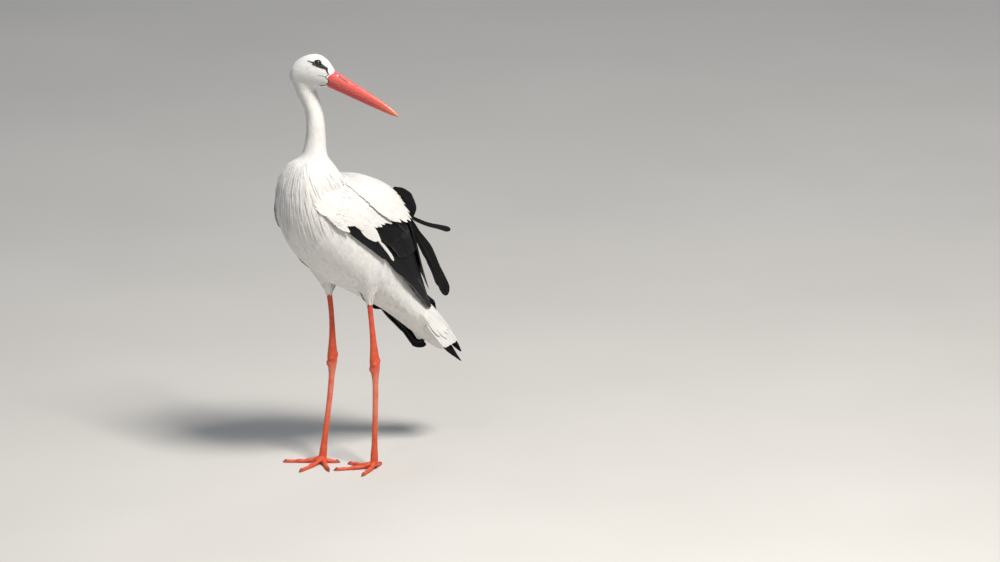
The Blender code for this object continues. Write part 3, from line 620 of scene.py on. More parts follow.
def kd_tree(points):
    tree = KDTree(len(points))
    for index, point in enumerate(points):
        tree.insert(point, index)
    tree.balance()
    return tree


class Ground:
    """The skin as something to sow feathers on: triangles to pick from, and the nearest place."""

    def __init__(self, skin):
        mesh = skin.data
        mesh.calc_loop_triangles()
        self.points, _ = points_of(mesh)
        corners = np.empty(3 * len(mesh.loop_triangles), np.int32)
        mesh.loop_triangles.foreach_get("vertices", corners)
        self.triangles = corners.reshape(-1, 3)
        self.tree = BVHTree.FromPolygons(self.points.tolist(), self.triangles.tolist())

    def nearest(self, places):
        found = [self.tree.find_nearest(Vector(place)) for place in places]
        return np.array([hit[0] for hit in found]), np.array([hit[1] for hit in found])

    def sow(self, wanted, spacing):
        """Evenly scattered places, no closer than the spacing, where wanted is true."""
        a, b, c = (self.points[self.triangles[:, k]] for k in range(3))
        middle = (a + b + c) / 3
        area = np.linalg.norm(np.cross(b - a, c - a), axis=1) / 2
        area = area * wanted(middle)
        tries = int(5.0 * area.sum() / spacing ** 2)
        chosen = RANDOM.choice(len(area), tries, p=area / area.sum())
        root, other = np.sqrt(RANDOM.random(tries))[:, None], RANDOM.random(tries)[:, None]
        places = (1 - root) * a[chosen] + root * (1 - other) * b[chosen] + root * other * c[chosen]
        tree = kd_tree(places)
        alive = np.ones(tries, bool)
        kept = []
        for i in range(tries):
            if alive[i]:
                kept.append(i)
                for _, j, _ in tree.find_range(places[i], spacing):
                    alive[j] = False
        return places[kept]


def lie(points):
    """Which way the feathers point, at each place."""
    head, _, thigh, s = regions(points)
    f, _, u = head_place(points)
    z = points[..., 2]
    front = 1 - rise(-0.01, 0.16, s)
    trunk_way = AXIS - UP * (0.25 + 0.7 * front)[..., None]
    step = spline(NECK_LINE, z - 0.012) - spline(NECK_LINE, z + 0.012)
    neck_way = unit(stack3(step[..., 0], step[..., 1], -0.024))
    nape = rise(-0.055, -0.095, f)
    cheek = rise(0.020, -0.020, u)
    head_way = -FORWARD - HEAD_UP * (0.25 * cheek + 1.6 * nape)[..., None]
    way = mix(unit(trunk_way), neck_way, rise(0.68, 0.75, z)[..., None])
    way = mix(way, -UP + 0.12 * AXIS, thigh[..., None])
    return unit(mix(way, unit(head_way), head[..., None]))


ROOT_SINK = 0.4 * MM  # how deep a small feather's root lies in the skin
STIFFNESS = 0.55  # how much a feather keeps its own direction where the lie of the coat turns


def drape(ground, roots, length, rows, lift, stray, hang):
    """Lines of points that start on the skin and follow the lie of the coat, rising to the tip."""
    place, normal = ground.nearest(roots)
    way = lie(place) + RANDOM.normal(0, stray, (len(roots), 3)) - hang * UP
    way = unit(way - dot(way, normal) * normal)
    step = (length / (rows - 1))[:, None]
    lines, normals = [place - normal * ROOT_SINK], [normal]
    for row in range(1, rows):
        place, normal = ground.nearest(place + way * step)
        way = mix(lie(place) - hang * UP, way, STIFFNESS)
        way = unit(way - dot(way, normal) * normal)
        share = row / (rows - 1)
        climb = min(1.0, share / 0.4) ** 0.8 - 0.45 * (max(0.0, share - 0.5) / 0.5) ** 2
        lines.append(place + normal * (lift[:, None] * climb))
        normals.append(normal)
    return np.stack(lines, axis=1), np.stack(normals, axis=1)


def under_wing(points):
    """True where the folded wings cover the body."""
    x, s, n = body_place(points)
    edge = np.where(x > 0, between(LOWER_EDGE[LEFT], s), between(LOWER_EDGE[RIGHT], s))
    return (s > 0.020) & (s < 0.40) & (n > edge + 0.016)


def clear_of_face(roots, length):
    """Shortens feathers that would lie over the bare skin, and says which are too short to keep."""
    way = lie(roots)
    fits = np.ones(len(roots))
    for share in (1.0, 0.75, 0.5, 0.25):
        ends = roots + way * (length * share)[:, None]
        over = (face_mask(ends) > 0.3) & (regions(ends)[0] > 0.3)
        fits = np.where(over, share - 0.25, fits)
    return length * fits, fits > 0.3


def body_feathers(ground, name, wanted, spacing, length, width, lift, finish, rows=5, columns=5,
                  stray=0.08, hang=0.0, tip=0.8, camber=0.25, thick=0.35 * MM, soft=0.85):
    """A coat of small feathers over part of the skin.

    length and width are (shortest, longest), or give a length or width for roots and sizes; lift is
    how far the feathers stand off the skin, or gives it for roots.
    """
    roots = ground.sow(wanted, spacing)
    size = RANDOM.random(len(roots))
    long = length(roots, size) if callable(length) else mix(*length, size)
    long, kept = clear_of_face(roots, long)
    roots, size, long = roots[kept], size[kept], long[kept]
    count = len(roots)
    wide = width(roots, size) if callable(width) else mix(*width, RANDOM.random(count))
    raised = lift(roots) if callable(lift) else lift
    raised = np.minimum(raised * RANDOM.uniform(0.82, 1.06, count), 0.07 * long)
    spine, normal = drape(ground, roots, long, rows, raised, stray, hang)
    half = outline(rows, tip) * wide[:, None] / 2
    roll = RANDOM.normal(0, 0.06, count)
    made = vanes(name, spine, normal, half, half, unwrap(roots), marks_for(count), thick=thick,
                 camber=camber, columns=columns, roll=roll, soft=soft)
    finish_piece(made, finish, "white_feathers")


NECK_FOOT = 0.742  # height where the neck's feathers give way to the breast's
BREAST_END = 0.100  # s where the breast's feathers give way to the trunk's


def make_body_coat(ground, white):
    """The small feathers of the head, neck, breast, trunk and thighs, each group with its own bounds."""

    def on_head(points):
        f, _, u = head_place(points)
        head = regions(points)[0]
        bare = face_mask(points) * head > 0.4
        return (head > 0.5) & ~bare & (f < between(FEATHER_EDGE, u) + 0.5 * MM)

    def on_neck(points):
        return (regions(points)[0] <= 0.5) & (points[..., 2] > NECK_FOOT)

    def off_wing_and_thigh(points):
        return ~under_wing(points) & (regions(points)[2] < 0.5)

    def on_breast(points):
        below_neck = points[..., 2] <= NECK_FOOT
        return below_neck & (body_place(points)[1] < BREAST_END) & off_wing_and_thigh(points)

    def on_trunk(points):
        on_side = side * points[..., 0] > 0
        return on_side & (body_place(points)[1] >= BREAST_END) & off_wing_and_thigh(points)

    def on_front(points):
        z = points[..., 2]
        return (z > 0.640) & (z < 0.765) & ~under_wing(points) & (body_place(points)[2] < 0.076)

    def head_size(roots, size, at_bill, at_nape):
        return mix(at_bill, at_nape, rise(0.0, -0.05, head_place(roots)[0])) * mix(0.85, 1.15, size)

    def neck_length(roots, size):
        return mix(48 * MM, 14 * MM, rise(0.75, 0.875, roots[..., 2])) * mix(0.85, 1.15, size)

    def neck_lift(roots):
        return mix(COAT_NECK * 0.9, 0.9 * MM, rise(0.81, 0.86, roots[..., 2]))

    def trunk_length(roots, size):
        return mix(38 * MM, 84 * MM, rise(0.34, 0.47, body_place(roots)[1])) * mix(0.85, 1.15, size)

    body_feathers(ground, "coat_head", on_head, 1.5 * MM,
                  partial(head_size, at_bill=6 * MM, at_nape=15 * MM),
                  partial(head_size, at_bill=2 * MM, at_nape=3.4 * MM),
                  lambda roots: coat_depth(roots) * 0.8, white, columns=3, stray=0.05,
                  thick=0.2 * MM, camber=0.35, soft=0.94)
    body_feathers(ground, "coat_neck", on_neck, 2.4 * MM, neck_length, (3.2 * MM, 4.8 * MM),
                  neck_lift, white, rows=6, columns=3, stray=0.04, tip=0.9, thick=0.25 * MM,
                  camber=0.32, soft=0.92)
    body_feathers(ground, "coat_breast", on_breast, 5.4 * MM, (40 * MM, 62 * MM), (8 * MM, 11 * MM),
                  COAT_TRUNK, white, rows=8, camber=0.20)
    for side, name in SIDES:
        body_feathers(ground, "coat_trunk_" + name, on_trunk, 5.2 * MM, trunk_length,
                      (10 * MM, 13 * MM), coat_depth, white, rows=7, tip=0.70, camber=0.20)
    body_feathers(ground, "coat_thighs", lambda points: regions(points)[2] >= 0.5, 3.4 * MM,
                  (18 * MM, 28 * MM), (4.5 * MM, 6.5 * MM), COAT_THIGH, white, rows=6, stray=0.06)
    body_feathers(ground, "plumes_breast", on_front, 8.0 * MM, (62 * MM, 125 * MM), (4 * MM, 7 * MM),
                  COAT_TRUNK + 1.5 * MM, white, rows=14, stray=0.09, hang=0.30, tip=1.0,
                  thick=0.3 * MM, soft=0.5)
    make_leg_tufts(ground, white)


def make_leg_tufts(ground, white):
    """Narrow feathers that close in on the leg below each thigh."""
    rows = 9
    spines, normals, bakes, widths = [], [], [], []
    v = np.linspace(0, 1, rows)
    for side, _ in SIDES:

        def from_leg(points):
            return points[..., :2] - leg_centre(side, points[..., 2])

        def low_thigh(points):
            return (np.linalg.norm(from_leg(points), axis=-1) < 21 * MM) & (points[..., 2] < bottom + 28 * MM)

        bottom = ground.points[np.linalg.norm(from_leg(ground.points), axis=1) < 15 * MM, 2].min()
        roots = ground.sow(low_thigh, 2.9 * MM)
        count = len(roots)
        tip_z = bottom - RANDOM.uniform(3 * MM, 15 * MM, count) + 0.25 * (roots[:, 2] - bottom)
        away = from_leg(roots)
        reach = np.linalg.norm(away, axis=1)
        away = away / reach[:, None]
        z = mix(roots[:, 2:], tip_z[:, None], v)
        radius = mix((reach - 0.3 * MM)[:, None], 7.2 * MM, rise(-0.15, 0.95, v) ** 1.2)
        radius = radius + 1.6 * MM * np.sin(math.pi * v) * RANDOM.uniform(0.4, 1.1, (count, 1))
        x, y = np.moveaxis(leg_centre(side, z), -1, 0)
        spines.append(stack3(x + away[:, :1] * radius, y + away[:, 1:] * radius, z))
        normals.append(stack3(away[:, :1] + 0 * v, away[:, 1:], 0.25))
        bakes.append(unwrap(roots))
        widths.append(RANDOM.uniform(3.6, 5.6, count) * MM)
    spine, normal = np.concatenate(spines), unit(np.concatenate(normals))
    half = outline(rows, 0.9) * np.concatenate(widths)[:, None] / 2
    made = vanes("leg_tufts", spine, normal, half, half, np.concatenate(bakes), marks_for(len(spine)),
                 thick=0.3 * MM, soft=0.6)
    finish_piece(made, white, "white_feathers")


# ---------------------------------------------------------------- wings

def shell(side, s, share, depth):
    """Points under a wing's smooth shell, a share of the way from the back down to its edge."""
    s, share, depth = np.broadcast_arrays(*(np.asarray(value, float) for value in (s, share, depth)))
    half_width, top, middle = np.moveaxis(spline(WING, s), -1, 0)
    spread = between(WING_SPREAD[side], s)
    low = between(LOWER_EDGE[side], s)
    fold = np.arccos(np.clip((low - middle) / (top - middle), -1.0, 1.0))
    limit = np.where(low < middle, math.pi / 2 + (middle - low) / HANG, fold)
    angle = share * limit
    turn = angle - math.pi / 2
    upper = turn < 0
    x = np.where(upper, (half_width - depth + spread * np.sin(angle)) * np.sin(angle),
                 half_width - depth + spread - 0.06 * turn * HANG)
    n = np.where(upper, middle + (top - middle - depth) * np.cos(angle), middle - turn * HANG)
    return body_point(side * x, s, n)


def shell_normal(side, s, share, depth):
    step = 1.0 * MM
    return unit(shell(side, s, share, depth - step) - shell(side, s, share, depth + step))


def wing_vanes(name, side, quills, rows, columns, finish, slot, *nodes, roundness=0.62, pointed=0.5,
               outer_web=1.0, nicks=0.0, roll=0.07, **looks):
    """Feathers laid on a wing's shell.

    Each quill is (s of root, s of tip, share at root, share at tip, depth at root, depth at tip,
    width), and the upper of two neighbours lies over the lower.
    """
    quills = np.array(quills, float)
    s0, s1, share0, share1, depth0, depth1, width = (quills[:, k:k + 1] for k in range(7))
    v = steps_along(rows)
    s = mix(s0, s1, v)
    share = mix(share0, share1, v ** 1.3)
    depth = mix(depth0, depth1, v)
    tip = np.clip(roundness * width / (s1 - s0), 0.08, 0.9)
    half = mix(0.55, 1.0, rise(0.0, 0.4, v)) * rounded(v, tip, pointed) * width / 2
    half = nicked(half, nicks, 0.86)
    # the outer web is the one on the side of the wing's edge
    left, right = (half, half * outer_web) if side == RIGHT else (half * outer_web, half)
    bake = np.concatenate([0.05 + 0.9 * share0, 0.05 + 0.9 * np.clip(s0 / 0.6 + 0.05, 0, 1)], axis=1)
    made = vanes(name, shell(side, s, share, depth), shell_normal(side, s, share, depth), left, right, bake,
                 columns=columns, roll=-side * roll, **looks)
    finish_piece(made, finish, slot, *nodes)


def front_drop(s, start):
    """How much deeper a group lies at its front, where it comes out of the body's feathers."""
    return 9.0 * MM * (1 - rise(start - 0.01, start + 0.05, s))


def covert_rows(side, start, ends, across, sizes, level, rows=16, spacing=0.55, lift=0.4 * MM):
    """Imbricated rows of small feathers between the wing's front and the line of the last tips.

    across gives the first and last share of the way down the wing as functions of s; sizes are
    width and length in the first row and in the last; level is the depth of a share.
    """
    quills = []
    part_at = np.linspace(0, 1, 40)
    for row in range(rows):
        t = (row + 1) / rows
        tips = start + (between(ends, part_at) - start) * t
        first, last = across[0](tips), across[1](tips)
        line = shell(side, tips, first + (last - first) * part_at, level(0.5))
        run = float(np.linalg.norm(np.diff(line, axis=0), axis=1).sum())
        width, length = (mix(*size, t) for size in zip(*sizes))
        last_row = row == rows - 1
        count = max(3, int(round(run / (width * (0.9 if last_row else spacing)))))
        for k in range(count + 1):
            part = (k + 0.5 * (row % 2) + RANDOM.uniform(-0.2, 0.2)) / count
            part = min(max(part, 0.0), 1.0)
            ragged = RANDOM.normal(0, 5.0 * MM if last_row else 3.0 * MM)
            tip = start + (between(ends, part) - start) * t + ragged
            root = tip - length * RANDOM.uniform(0.88, 1.12)
            share, base = (mix(float(across[0](s)), float(across[1](s)), part) for s in (tip, root))
            quills.append((root, tip, mix(share, base, 0.6) + RANDOM.normal(0, 0.010), share,
                           level(share) + 1.3 * MM + front_drop(root, start),
                           level(share) + front_drop(tip, start) - RANDOM.uniform(0, lift),
                           width * RANDOM.uniform(0.88, 1.12)))
    return quills


def bed(name, side, start, ends, across, level, inner, finish):
    """A smooth closed body under a group of small feathers, so that none of them stands on air."""
    rows, columns = 24, 18
    part = np.linspace(0.0, 1.0, columns)
    t = np.linspace(0, 1, rows)[:, None]
    s = start + 0.002 + (between(ends, part) - 0.016 - start) * t
    share = mix(across[0](s), across[1](s), mix(0.03, 0.97, part))
    fade = np.sin(t * math.pi) ** 0.4
    top = level(share) + 3.0 * MM + front_drop(s, start) + 6 * MM * (1 - fade)
    low = mix(inner, level(share) + 12 * MM, rise(0.5, 1.0, t))
    grid = np.concatenate([shell(side, s, share, top), shell(side, s, share, low)])
    index = np.arange(rows * columns).reshape(rows, columns)
    quads = np.stack([index[:-1, :-1], index[:-1, 1:], index[1:, 1:], index[1:, :-1]], axis=-1).reshape(-1, 4)
    faces = quads.tolist() + (quads[:, ::-1] + index.size).tolist()
    rim = np.concatenate([index[0], index[1:, -1], index[-1, -2::-1], index[-2:0:-1, 0]])
    after = np.roll(rim, -1)
    faces += np.stack([rim, after, after + index.size, rim + index.size], axis=-1).tolist()
    made = outward(mesh_object(name, grid, faces))
    add_map(made.data, "OFBake", *(np.tile(0.1 + 0.8 * value, (2, 1)) for value in (share, s)))
    # a tip of 0 gives the beds the painted shade of a feather's root in full
    for mark, value in (("tone", 0.5), ("tip", 0.0), ("web", 0.0)):
        paint(made.data, mark, np.full(2 * index.size, value))
    finish_piece(made, finish, "white_feathers")


FOLD = (  # s, share of the way down the wing where the scapulars' border lies over the coverts
    (0.000, 0.07), (0.032, 0.25), (0.061, 0.33), (0.088, 0.42), (0.122, 0.55), (0.170, 0.63),
    (0.262, 0.62),
)
# Where the tips of a group end: share of the way across the group, s
SCAPULAR_ENDS = ((0.0, 0.190), (0.4, 0.232), (0.6, 0.262), (0.8, 0.262), (1.0, 0.205))
COVERT_ENDS = {
    LEFT: ((0.0, 0.205), (0.2, 0.200), (0.45, 0.168), (0.6, 0.148), (0.75, 0.126), (0.88, 0.098),
           (0.94, 0.086), (1.0, 0.095)),
    RIGHT: ((0.0, 0.212), (0.2, 0.210), (0.6, 0.170), (0.8, 0.110), (1.0, 0.075)),
}
SECONDARY_ENDS = {
    LEFT: ((0.0, 0.415), (0.5, 0.452), (1.0, 0.472)),
    RIGHT: ((0.0, 0.415), (0.4, 0.452), (0.75, 0.548), (1.0, 0.588)),
}


WHITE_TONGUE = [  # the left wing's white feathers that reach down over the black ones, as quills
    (0.100, 0.176, 0.80, 0.850, 3.0 * MM, 0.6 * MM, 22 * MM),
    (0.108, 0.178, 0.86, 0.905, 3.0 * MM, 0.5 * MM, 20 * MM),
    (0.100, 0.188, 0.83, 0.880, 2.5 * MM, 0.0 * MM, 26 * MM),
]
WHITE_SLIVER = (0.180, 0.262, 0.880, 0.950, 6.0 * MM, 4.6 * MM, 7.5 * MM)


def quill_fan(count, across, start, ends, depth, width, root_share):
    """Long feathers side by side: their tips follow a line, and their roots lie closer together."""
    quills = []
    for k in range(count):
        part = (k + 0.5) / count
        share = mix(*across, part)
        tip = float(between(ends, part)) + RANDOM.normal(0, 2.0 * MM)
        quills.append((start, tip, share + root_share * (0.5 - part), share, depth + 1.4 * MM, depth,
                       width * RANDOM.uniform(0.95, 1.05)))
    return quills


def make_wing(side, name, white, black):
    """White scapulars and coverts over black flight feathers, all on the wing's shell."""
    fold = partial(between, FOLD)

    def top(s):
        return 0.0 * s

    def scapular_level(share):
        return -4.8 * MM + 0.0 * share

    def covert_level(share):
        return mix(-1.2 * MM, 1.8 * MM, rise(0.45, 0.70, share))

    for group, start, ends, across, sizes, level in (
        ("scapulars", 0.002, SCAPULAR_ENDS, (top, fold), ((14 * MM, 34 * MM), (21 * MM, 78 * MM)),
         scapular_level),
        ("coverts", 0.008, COVERT_ENDS[side], (lambda s: fold(s) - 0.06, lambda s: 1.0 + 0.0 * s),
         ((11 * MM, 28 * MM), (17 * MM, 56 * MM)), covert_level),
    ):
        quills = covert_rows(side, start, ends, across, sizes, level)
        if group == "coverts" and side == LEFT:
            quills += WHITE_TONGUE
        wing_vanes(f"{group}_{name}", side, quills, 14, 7, white, "white_feathers", f"wing_{name}_{group}",
                   marks=marks_for(len(quills)), roundness=1.9, pointed=0.75, nicks=0.12, roll=0.02,
                   shaft=0.1 * MM, camber=0.24, thick=0.35 * MM, soft=0.85)
    bed(f"scapular_down_{name}", side, 0.004, SCAPULAR_ENDS, (top, fold), scapular_level, 22 * MM, white)
    bed(f"covert_down_{name}", side, 0.012, COVERT_ENDS[side],
        (lambda s: fold(s) - 0.10, lambda s: 0.985 + 0.0 * s), covert_level, 24 * MM, white)
    if side == LEFT:
        wing_vanes("white_covert_edge", side, [WHITE_SLIVER], 20, 7, white, "white_feathers",
                   marks=marks_for(1), roundness=2.0)

    # pale is the most that a group shows of a painted highlight along its vanes' edges
    for group, pale, rows in (
        ("primary_coverts", 0.1, (
            (9, (0.82, 0.985), 0.060, ((0.0, 0.205), (0.6, 0.232), (1.0, 0.243)), 7.5 * MM, 15 * MM, 0.02),
            (7, (0.84, 0.97), 0.045, ((0.0, 0.165), (1.0, 0.190)), 5.9 * MM, 13 * MM, 0.01))),
        ("greater_coverts", 0.7, (
            (12, (0.42, 0.83), 0.130, ((0.0, 0.335), (0.5, 0.318), (1.0, 0.285)), 7.5 * MM, 24 * MM, 0.06),
            (11, (0.46, 0.84), 0.125, ((0.0, 0.270), (1.0, 0.235)), 5.7 * MM, 20 * MM, 0.03))),
        ("tertials", 0.1, (
            (8, (0.03, 0.41), 0.160, ((0.0, 0.395), (0.5, 0.425), (1.0, 0.450)), 3.2 * MM, 34 * MM, 0.05),)),
        ("secondaries", 0.7, ((15, (0.18, 0.985), 0.170, SECONDARY_ENDS[side], 13 * MM, 27 * MM, 0.08),)),
    ):
        quills = [quill for row in rows for quill in quill_fan(*row)]
        # fringe: how strongly each feather shows the painted highlight along its vane's edges
        fringe = pale * RANDOM.random(len(quills))
        wing_vanes(f"{group}_{name}", side, quills, 30, 9, black, "black_feathers", f"wing_{name}_{group}",
                   marks=marks_for(len(quills), fringe=fringe), nicks=0.16, roll=0.09,
                   shaft=0.45 * MM, thick=0.7 * MM, outer_web=0.8)


def blade_vanes(name, table, fans, rows, finish, node, sharp=0.9):
    """Long feathers along a leaning line: each fan is (s of root, s of tip, shift across as a
    share of the half width, lift, width as a share)."""
    spines, normals, halves = [], [], []
    v = steps_along(rows)
    for root, tip, shift, lift, wide in fans:
        s = mix(root, tip, v)
        x, n, half, lean = spline(table, s).T
        lean = np.radians(lean)
        spines.append(body_point(x + np.cos(lean) * (shift * half) + np.sin(lean) * lift, s,
                                 n - np.sin(lean) * (shift * half) + np.cos(lean) * lift))
        normals.append(np.sin(lean)[:, None] * LEFTWARD + np.cos(lean)[:, None] * DORSAL)
        full = half.max()
        end = np.clip(sharp * 2 * full * wide / (tip - root), 0.05, 0.9)
        halves.append(mix(half, full, 0.35) * wide * mix(0.5, 1.0, rise(0, 0.3, v)) * rounded(v, end))
    half = nicked(np.stack(halves), 0.10, 0.88)
    count = len(fans)
    bake = np.stack([np.linspace(0.2, 0.8, count), np.full(count, 0.5)], axis=-1)
    made = vanes(name, np.stack(spines), np.stack(normals), half, half * 0.9, bake, marks_for(count),
                 thick=0.8 * MM, camber=0.14, columns=9, shaft=0.5 * MM)
    finish_piece(made, finish, "black_feathers", node)


def make_long_feathers(black):
    for side, name in SIDES:
        last = PRIMARIES[side][-1][0]
        fans = [(0.302, last - 0.024 * k ** 1.15, (2.0 - k) * 0.16, (2.5 - k) * 0.75 * MM, 0.86)
                for k in range(6)]
        blade_vanes(f"primaries_{name}", PRIMARIES[side], fans, 40, black, f"wing_{name}_primaries")
    blade_vanes("loose_tertial_vane", LONG_TERTIAL, [(0.262, 0.399, 0.0, 0.0, 1.0)], 34, black,
                "loose_tertial", sharp=0.8)
    blade_vanes("drooping_tertial_vanes", DROOPING_TERTIALS, [
        (0.264, 0.495, 0.15, 0.6 * MM, 0.9), (0.264, 0.470, -0.2, 0.0, 0.85),
        (0.264, 0.438, 0.25, -0.7 * MM, 0.8), (0.264, 0.400, -0.1, 1.2 * MM, 0.8),
    ], 36, black, "drooping_tertials")
    blade_vanes("raised_tertial_vanes", RAISED_TERTIALS, [
        (0.207, 0.297, 0.10, 0.5 * MM, 0.9), (0.207, 0.286, -0.25, 0.0, 0.8),
        (0.207, 0.270, 0.35, -0.6 * MM, 0.7),
    ], 26, black, "raised_tertials")


# ---------------------------------------------------------------- tail

def roof(s, part, lift):
    """A point on the folded tail: part runs from -1 at its right edge to 1 at its left."""
    half_width, ridge, edge = np.moveaxis(spline(TAIL, s), -1, 0)
    angle = part * TAIL_TURN
    drop = (1 - np.cos(angle)) / (1 - math.cos(TAIL_TURN))
    return body_point(half_width * np.sin(angle) / math.sin(TAIL_TURN) + lift * np.sin(angle), s,
                      ridge + (edge - ridge) * drop + lift * np.cos(angle))


def undertail(s, part, lift):
    """A point on the underside, from the right (-1) to the left (1); lift goes down and out."""
    half_width, low, edge = np.moveaxis(spline(UNDERTAIL, s), -1, 0)
    return body_point((half_width + 0.4 * lift) * part, s, low - lift + (edge - low) * part ** 2)


def tail_vanes(name, quills, rows, columns, white, *nodes, surface=roof, roundness=0.6, roll=0.05, **looks):
    """Each quill is (s of root, s of tip, part at root, part at tip, lift at root, at tip, width)."""
    quills = np.array(quills, float)
    s0, s1, part0, part1, lift0, lift1, width = (quills[:, k:k + 1] for k in range(7))
    v = steps_along(rows)
    s, part, lift = mix(s0, s1, v), mix(part0, part1, v), mix(lift0, lift1, v)
    slope = surface(s, part + 0.01, lift) - surface(s, part - 0.01, lift)
    tip = np.clip(roundness * width / (s1 - s0), 0.08, 0.9)
    half = nicked(mix(0.55, 1.0, rise(0, 0.4, v)) * rounded(v, tip) * width / 2, 0.12, 0.88)
    bake = np.concatenate([0.5 + 0.4 * part0, 0.1 + 0.8 * (s0 - 0.34) / 0.3], axis=1)
    made = vanes(name, surface(s, part, lift), unit(np.cross(slope, AXIS)), half, half, bake,
                 marks_for(len(quills)), columns=columns, roll=np.sign(part1[:, 0]) * roll, **looks)
    finish_piece(made, white, "white_feathers", *nodes)


def soft_rows(tips, count, reach, stray, length, curve, ragged, gather, lifts, width, earliest=0.0):
    """Quills in offset rows across the tail, for the small feathers over and under its root."""
    quills = []
    for row, tip in enumerate(tips):
        root_lift, tip_lift = (mix(*lift, row / (len(tips) - 1)) for lift in lifts)
        for k in range(count):
            part = mix(-reach, reach, (k + 0.5 * (row % 2)) / (count - 0.5)) + RANDOM.uniform(-stray, stray)
            long = RANDOM.uniform(*length) * MM
            end = tip - curve * part ** 2 + RANDOM.normal(0, ragged)
            quills.append((max(end - long, earliest), end, part * gather, part, root_lift, tip_lift,
                           RANDOM.uniform(*width) * MM))
    return quills


def make_tail(white):
    quills = []
    for k in range(RECTRICES):
        part = mix(-0.93, 0.93, k / (RECTRICES - 1))
        inner = abs(part)
        tip = TAIL_END - TAIL_ROUNDING * inner ** 1.5 - RANDOM.uniform(0, 2 * MM)
        quills.append((TAIL_ROOT, tip, part * 0.75, part, 1.0 * MM - 1.5 * MM * inner,
                       1.2 * MM - 2.4 * MM * inner, 34 * MM))
    tail_vanes("rectrices", quills, 30, 9, white, "tail", thick=0.7 * MM, shaft=0.35 * MM, camber=0.24,
               roundness=0.45, roll=0.02, soft=0.6)
    quills = soft_rows(np.linspace(0.430, 0.560, 9), 13, 0.95, 0.04, (58, 80), 0.02, 3 * MM, 0.85,
                       ((1.2 * MM, 1.2 * MM), (2.2 * MM, 2.2 * MM)), (13, 18))
    tail_vanes("uppertail_coverts", quills, 12, 5, white, camber=0.26, roundness=2.2, thick=0.35 * MM,
               soft=0.88)
    quills = soft_rows(np.linspace(0.582, 0.470, 11), 12, 0.98, 0.05, (62, 92), 0.012, 4 * MM, 0.9,
                       ((-3.6 * MM, -1.2 * MM), (-1.6 * MM, 0.8 * MM)), (12, 17), earliest=TAIL_ROOT)
    tail_vanes("undertail_coverts", quills, 14, 5, white, surface=undertail, camber=-0.28, roundness=2.4,
               thick=0.25 * MM, soft=0.85)


# ---------------------------------------------------------------- bill and eyes

def mandible(name, upper, finish, node):
    """One half of the bill as a fine loft: rounded outside, flat where the halves meet."""
    along, around = 190, 44
    v = np.linspace(0, 1, along)
    f = mix(BILL[0][0], BILL_LENGTH, 1 - (1 - v) ** 1.25)
    low, line, top, half = spline(BILL, f).T
    turn = np.linspace(0, math.pi, around - 12)
    flat = np.linspace(-1, 1, 14)[1:-1]
    if upper:
        seam = line + 0.15 * MM
        height = top - seam
    else:
        half = half * 0.955
        seam = line - 0.15 * MM
        height = low - seam
    f, half, seam, height = (value[:, None] for value in (f, half, seam, height))
    outside = np.cos(turn) * half * (1 - 0.10 * np.sin(turn) ** 2)
    if upper:
        outside = outside * np.abs(np.cos(turn)) ** 0.10
    over = seam + height * np.sin(turn) ** (0.92 if upper else 0.85)
    hollow = seam + np.sign(height) * 0.9 * MM * (1 - flat ** 2) * rise(0.175, 0.15, f)
    across = np.concatenate([outside, flat * half * 0.97], axis=1)
    u = np.concatenate([over, hollow], axis=1)
    f = np.broadcast_to(f, across.shape).copy()
    slit = np.zeros(across.shape)
    if upper:
        outer = np.arange(around) < around - 12
        slit_u = mix(0.0243, 0.0203, np.clip((f - NOSTRIL[0]) / (NOSTRIL[1] - NOSTRIL[0]), 0, 1))
        past = np.maximum(NOSTRIL[0] - f, 0) + np.maximum(f - NOSTRIL[1], 0)
        gap = np.hypot(past, u - slit_u)
        depth = 1.1 * MM * np.exp(-(gap / (0.75 * MM)) ** 2)
        groove_u = mix(0.0200, 0.0150, np.clip(f / 0.09, 0, 1))
        groove = 0.35 * MM * np.exp(-((u - groove_u) / (1.3 * MM)) ** 2)
        groove = groove * rise(0.100, 0.070, f) * rise(-0.010, 0.010, f)
        rim = 0.05 * MM * np.exp(-((gap - 1.5 * MM) / (0.6 * MM)) ** 2)
        across = across - np.sign(across) * np.where(outer, depth + groove - rim, 0.0)
        # slit is near 1 in the nostril, where painted shade makes the opening near black
        slit = np.where(outer, np.exp(-(gap / (0.9 * MM)) ** 2), 0.0)
    across = across * (1 - 0.22 * rise(0.0, 1.6 * MM, between(FEATHER_EDGE, u) - f))
    made = outward(mesh_object(name, head_point(f, across, u), tube_faces(along, around)))
    paint(made.data, "along", np.clip(f / BILL_LENGTH, 0, 1))
    paint(made.data, "edge", np.exp(-((u - seam) / (1.1 * MM)) ** 2))
    paint(made.data, "slit", slit)
    paint(made.data, "upper", np.full(f.shape, 1.0 if upper else 0.0))
    add_map(made.data, "OFBake", v[:, None] * 0.9 + 0.05, np.linspace(0.1, 0.9, around))
    finish_piece(made, finish, "bill_horn", node)


def by_eye(side, reach, turn, out):
    """The point at a distance and bearing round the eyeball's middle, and so far out of the head."""
    return head_point(SHOWN_EYE[0] + reach * np.cos(turn), -side * (SHOWN_EYE[1] + out),
                      SHOWN_EYE[2] + reach * np.sin(turn))


def make_eye(side, name, finish):
    """An eyeball with its pole looking out, slightly bulged at the cornea."""
    rings, around = 40, 56
    polar = np.linspace(0.02, math.pi - 0.02, rings)[:, None]
    turn = np.linspace(0, math.tau, around, endpoint=False)[None]
    bulge = EYE_RADIUS * (1 + 0.035 * np.exp(-(polar / 0.55) ** 2))
    out = bulge * np.cos(polar) + 0 * turn
    points = by_eye(side, bulge * np.sin(polar), turn, out)
    made = outward(mesh_object("eyeball_" + name, points, tube_faces(rings, around)))
    paint(made.data, "iris", np.broadcast_to(EYE_RADIUS * np.sin(polar) / EYE_OPENING
                                             + 10 * (polar > math.pi / 2), out.shape))
    paint(made.data, "turn", np.broadcast_to(turn, out.shape))
    finish_piece(made, finish, "eye", "eye_" + name)


